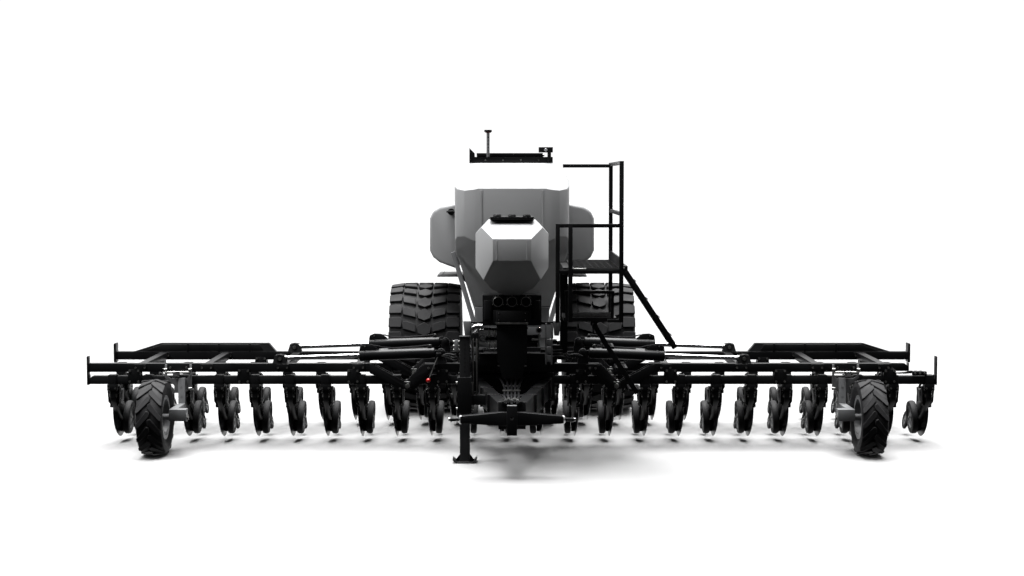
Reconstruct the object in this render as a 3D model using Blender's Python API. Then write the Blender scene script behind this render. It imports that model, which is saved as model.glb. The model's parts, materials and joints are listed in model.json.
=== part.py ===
"""A trailed pneumatic seed drill with folding wings, unfolded, standing on its wheels and its jack.

Metres. +Z is up, the hitch points to -Y, +X is the drill's left. The origin is on the floor, under the
middle of the drill's box.
"""
import math

import bmesh
import bpy
from mathutils import Matrix, Vector

# Working width and rows
ROW_SPACING = 0.1875
ROW_COUNT = 48
ROW1_Y = -0.43            # discs of the front row of openers
ROW_STEP = 1.30           # from the front row back to the rear row
BAR_AHEAD = 0.45          # a toolbar lies this far ahead of its discs
FRONT_BAR_Y = ROW1_Y - BAR_AHEAD
REAR_BAR_Y = FRONT_BAR_Y + ROW_STEP
# Beams
BAR_BOTTOM, BAR_TOP = 0.670, 0.756
BEAM_BOTTOM, BEAM_TOP = 0.800, 0.889
BEAM_HALF = 0.050
BAR_HALF = 0.045
BAR_END_CUT = 0.040       # corner cut off a toolbar's end, which passes its neighbour as a wing folds
HANGERS = (0.148, 0.500, 0.852)  # where a toolbar hangs from its beam, along its length
WING_TIES = (1.62, 2.42, 3.22, 3.92)
WALL_TOP = 0.985          # top of the raised box on a wing's rear beam
BEAM_END = 4.47           # outer end of the wing beams, from the middle
RAIL_X = 0.36
RAIL_HALF = 0.06
RAIL_TOP = 1.06
# Wing hinge and cylinders
HINGE_X, HINGE_Z = 1.10, 0.66
PIN_R = 0.025
CHEEK = 0.0225            # thickness of a hinge cheek
CHEEK_PLAY = 0.0006       # between the cheeks of a hinge
PIN_PLAY = 0.0015         # between a hinge pin and its hole
GAP = 0.0003              # between pieces that touch
CENTRE_BEAM_END = 0.92
ARM_X = 1.50              # where an inner arm joins the wing beams
BASE_X, BASE_Z = 0.75, 1.00
EYE_X, EYE_Z = 2.45, 0.94
BARREL_R, BARREL_LENGTH = 0.0575, 0.86
ROD_R, ROD_LENGTH = 0.0235, 0.91
ROD_PLAY = 0.0022
EYE_R, EYE_HALF = 0.042, 0.025
FORK = 0.020              # thickness of the plates each side of a cylinder's eye
# Wheels
MAIN_R, MAIN_WIDTH, MAIN_X = 0.78, 0.86, 1.05
MAIN_RIM_R = 0.40
AXLE_Y = ROW1_Y + 2.70
WING_R, WING_WIDTH, WING_X = 0.39, 0.27, 3.665
WING_RIM_R = 0.215
WING_AXLE_Y = ROW1_Y - 1.02
# Tanks
TANK_HALF, TANK_FRONT, TANK_BACK = 0.63, ROW1_Y + 0.25, ROW1_Y + 3.15
TANK_BOTTOM, TANK_TOP = 1.38, 3.01
SMALL_HALF, SMALL_FRONT, SMALL_BACK = 0.37, ROW1_Y - 1.60, ROW1_Y - 0.50
SMALL_BOTTOM, SMALL_TOP = 1.65, 2.42
SIDE_OUT, SIDE_FRONT, SIDE_BACK = 0.98, ROW1_Y + 1.95, ROW1_Y + 3.15
SIDE_BOTTOM, SIDE_TOP = 1.84, 2.50
HATCH_FRONT, HATCH_BACK = ROW1_Y + 0.95, ROW1_Y + 2.45
HATCH_HALF, HATCH_TOP = 0.46, TANK_TOP + 0.07
# Access
DECK_IN, DECK_OUT = 0.57, 1.03
DECK_FRONT, DECK_BACK = ROW1_Y - 2.45, ROW1_Y - 0.60
DECK_Z = 1.985
RAILING_TOP = 3.00
POST = 0.04
LANDING_Z = 1.42
UPPER_FOOT = (1.60, 0, 1.18)
STEP_PIVOT = (0.84, 1.34)
LOWER_FOOT = (1.27, 0, 0.66)
# Hitch and jack
HITCH_Y, HITCH_Z = -2.97, 0.57
DRAWBAR_BACK = FRONT_BAR_Y - 0.10
JACK_X, JACK_Y = -0.471, ROW1_Y - 1.49
JACK_SIDE, JACK_TOP = 0.10, 1.27
COLLAR_HALF = JACK_SIDE / 2 + 0.022

SIDES = {"left": 1, "right": -1}


def clear_scene():
    for old in list(bpy.data.objects):
        bpy.data.objects.remove(old, do_unlink=True)


def paint(name, colour, roughness, metallic=0.0):
    made = bpy.data.materials.new(name)
    made.use_nodes = True
    shader = made.node_tree.nodes["Principled BSDF"]
    shader.inputs["Base Color"].default_value = (*colour, 1)
    shader.inputs["Roughness"].default_value = roughness
    shader.inputs["Metallic"].default_value = metallic
    return made


def shape(bm):
    """A finished bmesh as a mesh, its faces outwards."""
    bmesh.ops.recalc_face_normals(bm, faces=bm.faces)
    mesh = bpy.data.meshes.new("shape")
    bm.to_mesh(mesh)
    bm.free()
    return mesh


def box(x0, x1, y0, y1, z0, z1):
    low = Vector((min(x0, x1), min(y0, y1), min(z0, z1)))
    high = Vector((max(x0, x1), max(y0, y1), max(z0, z1)))
    bm = bmesh.new()
    bmesh.ops.create_cube(bm, size=1)
    bmesh.ops.scale(bm, vec=high - low, verts=bm.verts)
    bmesh.ops.translate(bm, vec=(low + high) / 2, verts=bm.verts)
    return shape(bm)


def prism(outline, axis, start, end):
    """An outline of points pushed along an axis. Around X the points are (y, z), Y (x, z), Z (x, y)."""
    place = {"X": lambda p, d: (d, p[0], p[1]), "Y": lambda p, d: (p[0], d, p[1]),
             "Z": lambda p, d: (p[0], p[1], d)}[axis]
    bm = bmesh.new()
    near = [bm.verts.new(place(p, start)) for p in outline]
    far = [bm.verts.new(place(p, end)) for p in outline]
    bm.faces.new(near)
    bm.faces.new(far)
    for i in range(len(outline)):
        j = (i + 1) % len(outline)
        bm.faces.new((near[i], near[j], far[j], far[i]))
    return shape(bm)


def circle(centre, radius, sides, turn=0.0):
    steps = (turn + 2 * math.pi * i / sides for i in range(sides))
    return [(centre[0] + radius * math.cos(a), centre[1] + radius * math.sin(a)) for a in steps]


def disc(axis, centre, radius, start, end, sides=16):
    return prism(circle(centre, radius, sides, math.pi / sides), axis, start, end)


def bar(start, end, width, height):
    """A straight tube of a rectangular section from one point to another, its height kept upright."""
    start, end = Vector(start), Vector(end)
    along = (end - start).normalized()
    across = along.cross(Vector((0, 0, 1))) if abs(along.z) < 0.99 else Vector((1, 0, 0))
    across.normalize()
    up = across.cross(along)
    bm = bmesh.new()
    bmesh.ops.create_cube(bm, size=1)
    bmesh.ops.scale(bm, vec=(width, (end - start).length, height), verts=bm.verts)
    turn = Matrix((across, along, up)).transposed().to_4x4()
    bmesh.ops.transform(bm, matrix=Matrix.Translation((start + end) / 2) @ turn, verts=bm.verts)
    return shape(bm)


def pipe(start, end, radius, sides=10):
    start, end = Vector(start), Vector(end)
    bm = bmesh.new()
    bmesh.ops.create_cone(bm, cap_ends=True, segments=sides, radius1=radius, radius2=radius,
                          depth=(end - start).length)
    turn = Vector((0, 0, 1)).rotation_difference(end - start).to_matrix().to_4x4()
    bmesh.ops.transform(bm, matrix=Matrix.Translation((start + end) / 2) @ turn, verts=bm.verts)
    return shape(bm)


def turned(profile, centre, sides):
    """A profile of (x, radius) points turned round the X axis; points on the axis close it."""
    bm = bmesh.new()
    rings = []
    for x, radius in profile:
        if radius == 0:
            rings.append([bm.verts.new((x, 0, 0))])
        else:
            rings.append([bm.verts.new((x, y, z)) for y, z in circle((0, 0), radius, sides)])
    pairs = zip(rings, rings[1:] + ([rings[0]] if len(rings[0]) > 1 else []))
    for one, two in pairs:
        for i in range(sides):
            j = (i + 1) % sides
            corners = [one[i % len(one)], one[j % len(one)], two[j % len(two)], two[i % len(two)]]
            bm.faces.new(list(dict.fromkeys(corners)))
    bmesh.ops.translate(bm, vec=centre, verts=bm.verts)
    return shape(bm)


def cut_block(low, high, planes):
    """A block with its corners cut off by planes, each a point on it and its outward direction."""
    bm = bmesh.new()
    low, high = Vector(low), Vector(high)
    bmesh.ops.create_cube(bm, size=1)
    bmesh.ops.scale(bm, vec=high - low, verts=bm.verts)
    bmesh.ops.translate(bm, vec=(low + high) / 2, verts=bm.verts)
    for point, normal in planes:
        parts = bm.verts[:] + bm.edges[:] + bm.faces[:]
        cut = bmesh.ops.bisect_plane(bm, geom=parts, plane_co=point, plane_no=normal, clear_outer=True)
        edges = [g for g in cut["geom_cut"] if isinstance(g, bmesh.types.BMEdge)]
        bmesh.ops.holes_fill(bm, edges=edges)
    bmesh.ops.dissolve_limit(bm, angle_limit=0.001, verts=bm.verts, edges=bm.edges)
    return shape(bm)


def slope(axis, a, b):
    """The plane through two points of a side view, seen along an axis, facing away from the middle."""
    (u0, v0), (u1, v1) = a, b
    normal = (v1 - v0, u0 - u1)
    if axis == "X":
        return (0, u0, v0), (0, *normal)
    if axis == "Y":
        return (u0, 0, v0), (normal[0], 0, normal[1])
    return (u0, v0, 0), (*normal, 0)


def combine(parts, operation, base=None):
    """The parts as one closed mesh, or the parts cut from a base."""
    first = bpy.data.objects.new("base", base or parts[0])
    helpers = bpy.data.collections.new("helpers")
    bpy.context.scene.collection.children.link(helpers)
    bpy.context.scene.collection.objects.link(first)
    for mesh in parts[0 if base else 1:]:
        helpers.objects.link(bpy.data.objects.new("helper", mesh))
    boolean = first.modifiers.new("combine", "BOOLEAN")
    boolean.operation = operation
    boolean.operand_type = "COLLECTION"
    boolean.collection = helpers
    graph = bpy.context.evaluated_depsgraph_get()
    graph.update()
    mesh = bpy.data.meshes.new_from_object(first.evaluated_get(graph))
    for done in [first, *helpers.objects]:
        bpy.data.objects.remove(done, do_unlink=True)
    bpy.data.collections.remove(helpers)
    return mesh


def joined(*parts):
    return combine(list(parts), "UNION") if len(parts) > 1 else parts[0]


def cut(base, *cutters):
    return combine(list(cutters), "DIFFERENCE", base)


def piece(name, mesh, material, origin=(0, 0, 0), round_shape=False):
    """A named sub-part whose origin lies on its joint's axis."""
    mesh.name = name
    mesh.transform(Matrix.Translation(-Vector(origin)))
    mesh.materials.clear()
    mesh.materials.append(material)
    if round_shape:
        mesh.shade_smooth()
        mesh.set_sharp_from_angle(angle=math.radians(35))
    made = bpy.data.objects.new(name, mesh)
    made.location = origin
    bpy.context.scene.collection.objects.link(made)
    return made


def mirrored(side, x0, x1):
    return sorted((side * x0, side * x1))


def centre_beam(y):
    """One cross beam of the chassis with the cheeks, pins and cylinder brackets at both its ends."""
    parts = [box(-CENTRE_BEAM_END, CENTRE_BEAM_END, y - BEAM_HALF, y + BEAM_HALF, BEAM_BOTTOM, BEAM_TOP)]
    inner = BAR_HALF + CHEEK + 2 * CHEEK_PLAY
    for side in SIDES.values():
        parts.append(box(*mirrored(side, 0.78, 0.91), y - inner - CHEEK, y + inner + CHEEK,
                         BEAM_BOTTOM + 0.005, BEAM_TOP - 0.004))
        outline = [(side * 0.85, BEAM_TOP - 0.01), (side * 0.85, BEAM_BOTTOM + 0.012), (side * 1.02, 0.620),
                   (side * HINGE_X, 0.608), (side * 1.145, 0.635), (side * 1.145, 0.690),
                   (side * 1.105, 0.712), (side * 0.945, BEAM_TOP - 0.01)]
        for way in (-1, 1):
            parts.append(prism(outline, "Y", y + way * inner, y + way * (inner + CHEEK)))
            lug = [(side * 0.69, BEAM_TOP - 0.01), (side * 0.81, BEAM_TOP - 0.01), (side * 0.79, 1.02),
                   (side * 0.75, 1.05), (side * 0.71, 1.02)]
            parts.append(prism(lug, "Y", y + way * (EYE_HALF + GAP), y + way * (EYE_HALF + FORK)))
        pin_end = inner + CHEEK + 0.012
        parts.append(disc("Y", (side * HINGE_X, HINGE_Z), PIN_R, y - pin_end, y + pin_end, 12))
        parts.append(disc("Y", (side * BASE_X, BASE_Z), 0.02, y - EYE_HALF - 0.03, y + EYE_HALF + 0.03, 8))
    return parts


def main_frame(black):
    parts = centre_beam(FRONT_BAR_Y) + centre_beam(REAR_BAR_Y)
    for x in (-RAIL_X, RAIL_X):
        parts.append(box(x - RAIL_HALF, x + RAIL_HALF, FRONT_BAR_Y - 0.08, AXLE_Y + 0.40, BEAM_TOP - 0.009,
                         RAIL_TOP))
        parts.append(box(x - 0.05, x + 0.05, AXLE_Y - 0.12, AXLE_Y + 0.12, 0.86 + GAP, 0.90))
    for y in (REAR_BAR_Y + 0.75, AXLE_Y + 0.35):
        parts.append(box(-0.33, 0.33, y - 0.045, y + 0.045, 0.92, 1.03))
    parts.append(box(-0.45, 0.45, DRAWBAR_BACK + GAP, FRONT_BAR_Y - 0.06, 0.50, RAIL_TOP + 0.004))
    piece("main_frame", joined(*parts), black)


def drawbar(black):
    """Two beams that run together from the frame to the hitch, with the head that carries the crossbar."""
    parts = [box(-0.44, 0.44, DRAWBAR_BACK - 0.025, DRAWBAR_BACK, 0.52, 0.80)]
    for side in SIDES.values():
        parts.append(bar((side * 0.37, DRAWBAR_BACK - 0.02, 0.655), (side * 0.075, HITCH_Y + 0.20, 0.60), 0.11,
                         0.19))
    parts.append(box(-0.13, 0.13, HITCH_Y + 0.05, HITCH_Y + 0.26, 0.47, 0.73))
    parts.append(box(JACK_X + COLLAR_HALF + GAP, -0.20, JACK_Y - 0.045, JACK_Y + 0.045, 0.58, 0.68))
    piece("drawbar", joined(*parts), black)


def hitch_crossbar(black):
    bar_half = 0.4825
    outline = [(-0.10, 0.515), (0.10, 0.515), (bar_half, 0.537), (bar_half, 0.604), (0.10, 0.642),
               (-0.10, 0.642), (-bar_half, 0.604), (-bar_half, 0.537)]
    parts = [prism(outline, "Y", HITCH_Y - 0.045, HITCH_Y + 0.05 - GAP),
             disc("X", (HITCH_Y, HITCH_Z), 0.0183, -0.585, 0.585, 12),
             box(-0.048, 0.048, HITCH_Y - 0.08, HITCH_Y, 0.427, 0.708)]
    piece("hitch_crossbar", joined(*parts), black)


def jack(black):
    half = JACK_SIDE / 2
    x, y = JACK_X, JACK_Y
    outer = COLLAR_HALF
    collar = cut(box(x - outer, x + outer, y - outer, y + outer, 0.50, 0.86),
                 box(x - half - GAP, x + half + GAP, y - half - GAP, y + half + GAP, 0.40, 0.96))
    strip = box(x + outer - 0.005, x + outer + 0.065, y - 0.01, y + 0.01, 0.70, 1.30)
    slot = box(x + outer + 0.02, x + outer + 0.035, y - 0.05, y + 0.05, 1.02, 1.16)
    piece("jack_collar", joined(collar, cut(strip, slot)), black)
    foot = [(x - 0.1215, 0.045), (x - 0.1215, 0.033), (x - 0.085, 0.0), (x + 0.085, 0.0), (x + 0.1215, 0.033),
            (x + 0.1215, 0.045), (x + 0.08, 0.012), (x - 0.08, 0.012)]
    parts = [box(x - half, x + half, y - half, y + half, 0.006, JACK_TOP),
             prism(foot, "Y", y - 0.11, y + 0.11)]
    piece("jack_leg", joined(*parts), black)


def rear_axle(black):
    z = MAIN_R
    parts = [box(-0.55, 0.55, AXLE_Y - 0.08, AXLE_Y + 0.08, z - 0.08, z + 0.08)]
    for side in SIDES.values():
        hub = MAIN_X - 0.03 - GAP
        parts.append(disc("X", (AXLE_Y, z), 0.065, side * 0.5, side * (hub - 0.01), 12))
        parts.append(disc("X", (AXLE_Y, z), 0.15, side * (hub - 0.04), side * hub, 16))
    piece("rear_axle", joined(*parts), black)


def wheel(name, side, centre, radius, width, rim_radius, rubber, rim_paint, sides):
    half = width / 2
    shoulder, bulge = 0.945 * radius, rim_radius + 0.45 * (radius - rim_radius)
    tyre = [(-half * 0.72, rim_radius + GAP), (-half, bulge), (-half * 0.96, shoulder), (-half * 0.72, radius)]
    tyre += [(-x, r) for x, r in reversed(tyre)]
    spread = half * 0.74
    hub_face = rim_radius * 0.42
    rim = [(-0.03, 0), (-0.03, hub_face), (0.0, rim_radius - 0.03), (-spread, rim_radius - 0.02),
           (-spread, rim_radius), (spread, rim_radius), (spread, rim_radius - 0.02), (0.03, rim_radius - 0.03),
           (0.06, hub_face), (0.09, 0)]
    rim = [(side * x, r) for x, r in rim]
    piece(name + "_tyre", turned(tyre, centre, sides), rubber, round_shape=True)
    piece(name + "_rim", turned(rim, centre, sides), rim_paint, round_shape=True)


def opener(x, y, side):
    """One opener: arm with its press wheel, disc on the outer side and gauge wheel on the inner side."""
    arm = [(-0.04, 0.48), (0.40, 0.25), (0.78, 0.25), (0.84, 0.06), (0.96, 0.07), (0.99, 0.26),
           (0.50, 0.45), (0.04, 0.60), (0.04, BAR_BOTTOM + 0.01), (-0.04, BAR_BOTTOM + 0.01)]
    outline = [(y + u, v) for u, v in arm]
    return [prism(outline, "X", x - 0.03, x + 0.03),
            disc("X", (y + BAR_AHEAD, 0.275), 0.225, x + side * 0.025, x + side * 0.055, 10),
            disc("X", (y + BAR_AHEAD + 0.02, 0.255), 0.18, x - side * 0.024, x - side * 0.095, 8)]


def gang(name, rows, bar_y, x0, x1, black, plate_side=0):
    """The openers of one row under their toolbar, with the posts that hang it from the beam above."""
    toolbar = [(x0, BAR_BOTTOM), (x1, BAR_BOTTOM), (x1, BAR_TOP - BAR_END_CUT), (x1 - BAR_END_CUT, BAR_TOP),
               (x0 + BAR_END_CUT, BAR_TOP), (x0, BAR_TOP - BAR_END_CUT)]
    parts = [prism(toolbar, "Y", bar_y - BAR_HALF, bar_y + BAR_HALF)]
    if plate_side:
        outer = plate_side * (BEAM_END + GAP)
        parts.append(box(outer - plate_side * 0.02, outer + plate_side * 0.006, bar_y - 0.03, bar_y + 0.03,
                         BAR_BOTTOM + 0.005, BAR_TOP - BAR_END_CUT - 0.005))
        parts.append(box(outer, outer + plate_side * 0.012, bar_y - 0.06, bar_y + 0.04, BAR_BOTTOM - 0.005, 0.965))
    for share in HANGERS:
        x = x0 + (x1 - x0) * share
        parts.append(box(x - 0.06, x + 0.06, bar_y - 0.035, bar_y + 0.035, BAR_TOP - 0.01,
                         BEAM_BOTTOM - GAP))
    for row in rows:
        x = (row - (ROW_COUNT - 1) / 2) * ROW_SPACING
        parts += opener(x, bar_y, 1 if x > 0 else -1)
    piece(name, joined(*parts), black)


def wing_frame(name, side, front_end, black):
    """Front and rear beam, the ties between them, the raised box at the rear and the arms to the hinge."""
    parts = []
    for y, end in ((FRONT_BAR_Y, front_end), (REAR_BAR_Y, BEAM_END)):
        parts.append(box(*mirrored(side, 1.44, end), y - BEAM_HALF, y + BEAM_HALF, BEAM_BOTTOM, BEAM_TOP))
        outline = [(HINGE_X - 0.045, 0.645), (HINGE_X, 0.612), (1.16, 0.625), (ARM_X, 0.79),
                   (ARM_X, BEAM_TOP - 0.006), (1.46, BEAM_TOP - 0.012), (HINGE_X + 0.03, 0.70),
                   (HINGE_X - 0.02, 0.705), (HINGE_X - 0.045, 0.68)]
        outline = [(side * u, v) for u, v in outline]
        hole = disc("Y", (side * HINGE_X, HINGE_Z), PIN_R + PIN_PLAY, y - 0.2, y + 0.2, 12)
        face = BAR_HALF + CHEEK_PLAY
        for way in (-1, 1):
            cheek = prism(outline, "Y", y + way * face, y + way * (face + CHEEK))
            parts.append(cut(cheek, hole.copy()))
            lug = [(EYE_X - 0.08, BEAM_TOP - 0.01), (EYE_X + 0.08, BEAM_TOP - 0.01),
                   (EYE_X + 0.05, EYE_Z + 0.035), (EYE_X, EYE_Z + 0.045), (EYE_X - 0.05, EYE_Z + 0.035)]
            parts.append(prism([(side * u, v) for u, v in lug], "Y", y + way * (EYE_HALF + GAP),
                               y + way * (EYE_HALF + FORK)))
    for x in WING_TIES:
        parts.append(box(*mirrored(side, x - 0.04, x + 0.04), FRONT_BAR_Y, REAR_BAR_Y, BEAM_BOTTOM + 0.006,
                         BEAM_TOP - 0.006))
    wall = [(2.65, BEAM_TOP - 0.01), (4.30, BEAM_TOP - 0.01), (3.96, WALL_TOP), (2.74, WALL_TOP)]
    parts.append(prism([(side * u, v) for u, v in wall], "Y", REAR_BAR_Y - 0.04, REAR_BAR_Y + 0.04))
    parts.append(box(*mirrored(side, BEAM_END - 0.01, BEAM_END + 0.015), REAR_BAR_Y - 0.06,
                     REAR_BAR_Y + 0.06, 0.78, 0.97))
    piece(name, joined(*parts), black, (side * HINGE_X, FRONT_BAR_Y, HINGE_Z))


def wheel_bracket(name, side, grey):
    """The eared plate on the front beam, the arm that leads down and forward, and the stub axle's housing."""
    y = FRONT_BAR_Y - BEAM_HALF - GAP
    plate = [(3.375, 0.88), (3.375, 0.64), (3.45, 0.58), (3.56, 0.58), (3.56, 0.66), (3.655, 0.74),
             (3.655, 0.88), (3.635, 0.88), (3.635, 0.76), (3.60, 0.735), (3.43, 0.735), (3.395, 0.76), (3.395, 0.88)]
    inner = WING_X - WING_WIDTH / 2 - 0.01
    low, high = WING_R - 0.035, WING_R + 0.085
    stub_end = WING_X - 0.03 - GAP
    arm = [(y, 0.74), (y, low), (WING_AXLE_Y - 0.06, low), (WING_AXLE_Y - 0.06, high), (y - 0.06, high), (y - 0.06, 0.74)]
    parts = [prism([(side * u, v) for u, v in plate], "Y", y - 0.022, y),
             prism(arm, "X", side * (inner - 0.08), side * (inner - 0.008)),
             box(*mirrored(side, inner - 0.18, inner - 0.02), WING_AXLE_Y - 0.06, WING_AXLE_Y + 0.06, low, high),
             disc("X", (WING_AXLE_Y, WING_R), 0.034, side * (inner - 0.05), side * (stub_end - 0.01), 12),
             disc("X", (WING_AXLE_Y, WING_R), 0.09, side * (stub_end - 0.03), side * stub_end, 12)]
    piece(name, joined(*parts), grey, (side * HINGE_X, FRONT_BAR_Y, HINGE_Z))


def fold_cylinder(name, side, y, black, chrome):
    """A barrel hung on its base pin and the rod that slides in it, straight from base pin to rod eye."""
    base = Vector((side * BASE_X, y, BASE_Z))
    way = Vector((side * EYE_X, y, EYE_Z)) - base
    length = way.length
    turn = Matrix.Translation(base) @ Matrix.Rotation(-math.atan2(way.z, way.x), 4, "Y")
    bore_r = ROD_R + ROD_PLAY
    body = turned([(0.06, 0), (0.06, 0.03), (0.10, BARREL_R), (BARREL_LENGTH, BARREL_R), (BARREL_LENGTH, 0)],
                  (0, 0, 0), 14)
    bore = turned([(0.115, 0), (0.115, bore_r), (1.0, bore_r), (1.0, 0)], (0, 0, 0), 14)
    neck = box(0.02, 0.08, -0.022, 0.022, -0.028, 0.028)
    ring = cut(joined(disc("Y", (0, 0), 0.045, -EYE_HALF, EYE_HALF), neck),
               disc("Y", (0, 0), 0.0225, -0.1, 0.1, 8))
    barrel = cut(joined(body, ring), bore)
    rod = joined(turned([(length - ROD_LENGTH, 0), (length - ROD_LENGTH, ROD_R), (length - 0.02, ROD_R),
                         (length - 0.02, 0)], (0, 0, 0), 14),
                 disc("Y", (length, 0), EYE_R, -EYE_HALF, EYE_HALF, 14))
    for part, mesh, material in (("_barrel", barrel, black), ("_rod", rod, chrome)):
        mesh.transform(turn)
        piece(name + part, mesh, material, base, round_shape=True)


def wings(black, grey, chrome):
    for word, side in SIDES.items():
        front_end = 4.0 if side > 0 else BEAM_END
        wing_frame(f"wing_{word}_frame", side, front_end, black)
        rows = {1: (range(31, 48, 2), range(30, 48, 2)), -1: (range(1, 18, 2), range(0, 18, 2))}[side]
        for place, row_set, y in zip(("front", "rear"), rows, (FRONT_BAR_Y, REAR_BAR_Y)):
            x0, x1 = mirrored(side, HINGE_X + 0.09, BEAM_END)
            gang(f"wing_{word}_{place}_openers", row_set, y, x0, x1, black, side if place == "front" else 0)
            fold_cylinder(f"{place}_cylinder_{word}", side, y, black, chrome)
        wheel_bracket(f"wing_{word}_wheel_bracket", side, grey)
    inner_end = HINGE_X - 0.06
    gang("centre_front_openers", range(19, 30, 2), FRONT_BAR_Y, -inner_end, inner_end, black)
    gang("centre_rear_openers", range(18, 29, 2), REAR_BAR_Y, -inner_end, inner_end, black)


def both_sides(planes):
    """Planes of the +X side with their mirror images."""
    flipped = [((-p[0], p[1], p[2]), (-n[0], n[1], n[2])) for p, n in planes]
    return planes + flipped


def both_ends(planes, middle):
    """Planes of the front with their mirror images at the rear."""
    flipped = [((p[0], 2 * middle - p[1], p[2]), (n[0], -n[1], n[2])) for p, n in planes]
    return planes + flipped


def main_tank(plastic):
    """The large tank: sloping roof, rounded front corners and a hopper that narrows to its outlet."""
    middle = (TANK_FRONT + TANK_BACK) / 2
    ends = [((0, TANK_FRONT, 2.73), (0, -0.30, 0.62)), ((0, TANK_FRONT, 2.16), (0, -0.78, -0.60))]
    corner_r, inner = 0.30, 0.34
    corners = []
    for step in range(1, 4):
        a = math.radians(step * 24)
        along = Vector((math.sin(a), -math.cos(a), 0))
        centre = Vector((inner, TANK_FRONT + corner_r, 0))
        corners.append((tuple(centre + corner_r * along), tuple(along)))
    corners.append(((0.48, TANK_FRONT + 0.10, 2.13), (0.52, -0.52, -0.62)))
    corners.append(((0.50, TANK_FRONT + 0.12, 2.745), (0.28, -0.40, 0.85)))
    sides = [((TANK_HALF, 0, 2.80), (0.94, 0, 0.34)), ((TANK_HALF, 0, 2.05), (0.94, 0, -0.27))]
    planes = both_ends(ends + both_sides(corners), middle) + both_sides(sides)
    low, high = (-TANK_HALF, TANK_FRONT, TANK_BOTTOM), (TANK_HALF, TANK_BACK, TANK_TOP)
    body = cut_block(low, high, planes)
    hatch = box(-0.36, 0.36, HATCH_FRONT + 0.06, HATCH_BACK - 0.06, TANK_TOP - 0.35, TANK_TOP + 0.1)
    piece("main_tank", cut(body, hatch), plastic)


def hatch(black):
    """The coaming on the roof, its lid and the level mast and lamp that stand on the coaming."""
    z = TANK_TOP + GAP
    rim = cut(box(-HATCH_HALF, HATCH_HALF, HATCH_FRONT, HATCH_BACK, z, HATCH_TOP),
              box(-0.355, 0.355, HATCH_FRONT + 0.065, HATCH_BACK - 0.065, z - 0.1, HATCH_TOP + 0.1))
    mast_x = -0.27
    mast = [disc("Z", (mast_x, HATCH_FRONT + 0.03), 0.016, HATCH_TOP - 0.03, 3.37, 8),
            disc("Z", (mast_x, HATCH_FRONT + 0.03), 0.045, 3.36, 3.385, 10)]
    lamp = [box(0.40, 0.44, HATCH_FRONT - 0.03, HATCH_FRONT + 0.05, z, 3.17),
            box(0.30, 0.46, HATCH_FRONT - 0.05, HATCH_FRONT + 0.03, 3.13, 3.19)]
    horn = prism([(-0.48, z), (-0.42, z), (-0.42, 3.12), (-0.48, 3.18)], "Y", HATCH_FRONT - 0.02,
                 HATCH_FRONT + 0.02)
    piece("hatch_coaming", joined(rim, *mast, *lamp, horn), black)
    lid_y0, lid_y1 = HATCH_FRONT + 0.09, HATCH_BACK + 0.02
    lid = joined(box(-0.40, 0.35, lid_y0, lid_y1, HATCH_TOP + 0.006, HATCH_TOP + 0.045),
                 box(-0.40, -0.34, lid_y0 + 0.1, lid_y0 + 0.2, HATCH_TOP + GAP, HATCH_TOP + 0.02),
                 box(-0.40, -0.34, lid_y1 - 0.2, lid_y1 - 0.1, HATCH_TOP + GAP, HATCH_TOP + 0.02))
    piece("main_tank_lid", lid, black, (-0.41, lid_y0, HATCH_TOP + 0.025))


def front_tank(plastic, black):
    """The small faceted tank, symmetrical from side to side and from front to back, with its knobbed lid."""
    middle = (SMALL_FRONT + SMALL_BACK) / 2
    front = [slope("X", (SMALL_FRONT, 2.24), (SMALL_FRONT + 0.50, SMALL_TOP)),
             slope("X", (SMALL_FRONT + 0.45, SMALL_BOTTOM), (SMALL_FRONT, 2.02))]
    front = [(p, (0, -abs(n[1]), math.copysign(n[2], 1 if p[2] > 2.1 else -1))) for p, n in front]
    corner = [((0.19, SMALL_FRONT, 0), (0.45, -0.18, 0))]
    planes = both_ends(front + both_sides(corner), middle)
    planes += both_sides([((SMALL_HALF, 0, 2.28), (0.14, 0, 0.13)), ((SMALL_HALF, 0, 1.93), (0.21, 0, -0.16)),
                          ((0.21, 0, 1.72), (0.07, 0, -0.135))])
    body = cut_block((-SMALL_HALF, SMALL_FRONT, SMALL_BOTTOM), (SMALL_HALF, SMALL_BACK, SMALL_TOP), planes)
    piece("front_tank", body, plastic)
    z = SMALL_TOP + GAP
    lid = [box(-0.22, 0.22, middle - 0.18, middle + 0.18, z, z + 0.03)]
    lid += [disc("Z", (x, middle - 0.12), 0.035, z + 0.02, z + 0.055, 10) for x in (-0.15, 0.0, 0.15)]
    piece("front_tank_lid", joined(*lid), black, (0, middle + 0.18, z))


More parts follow.
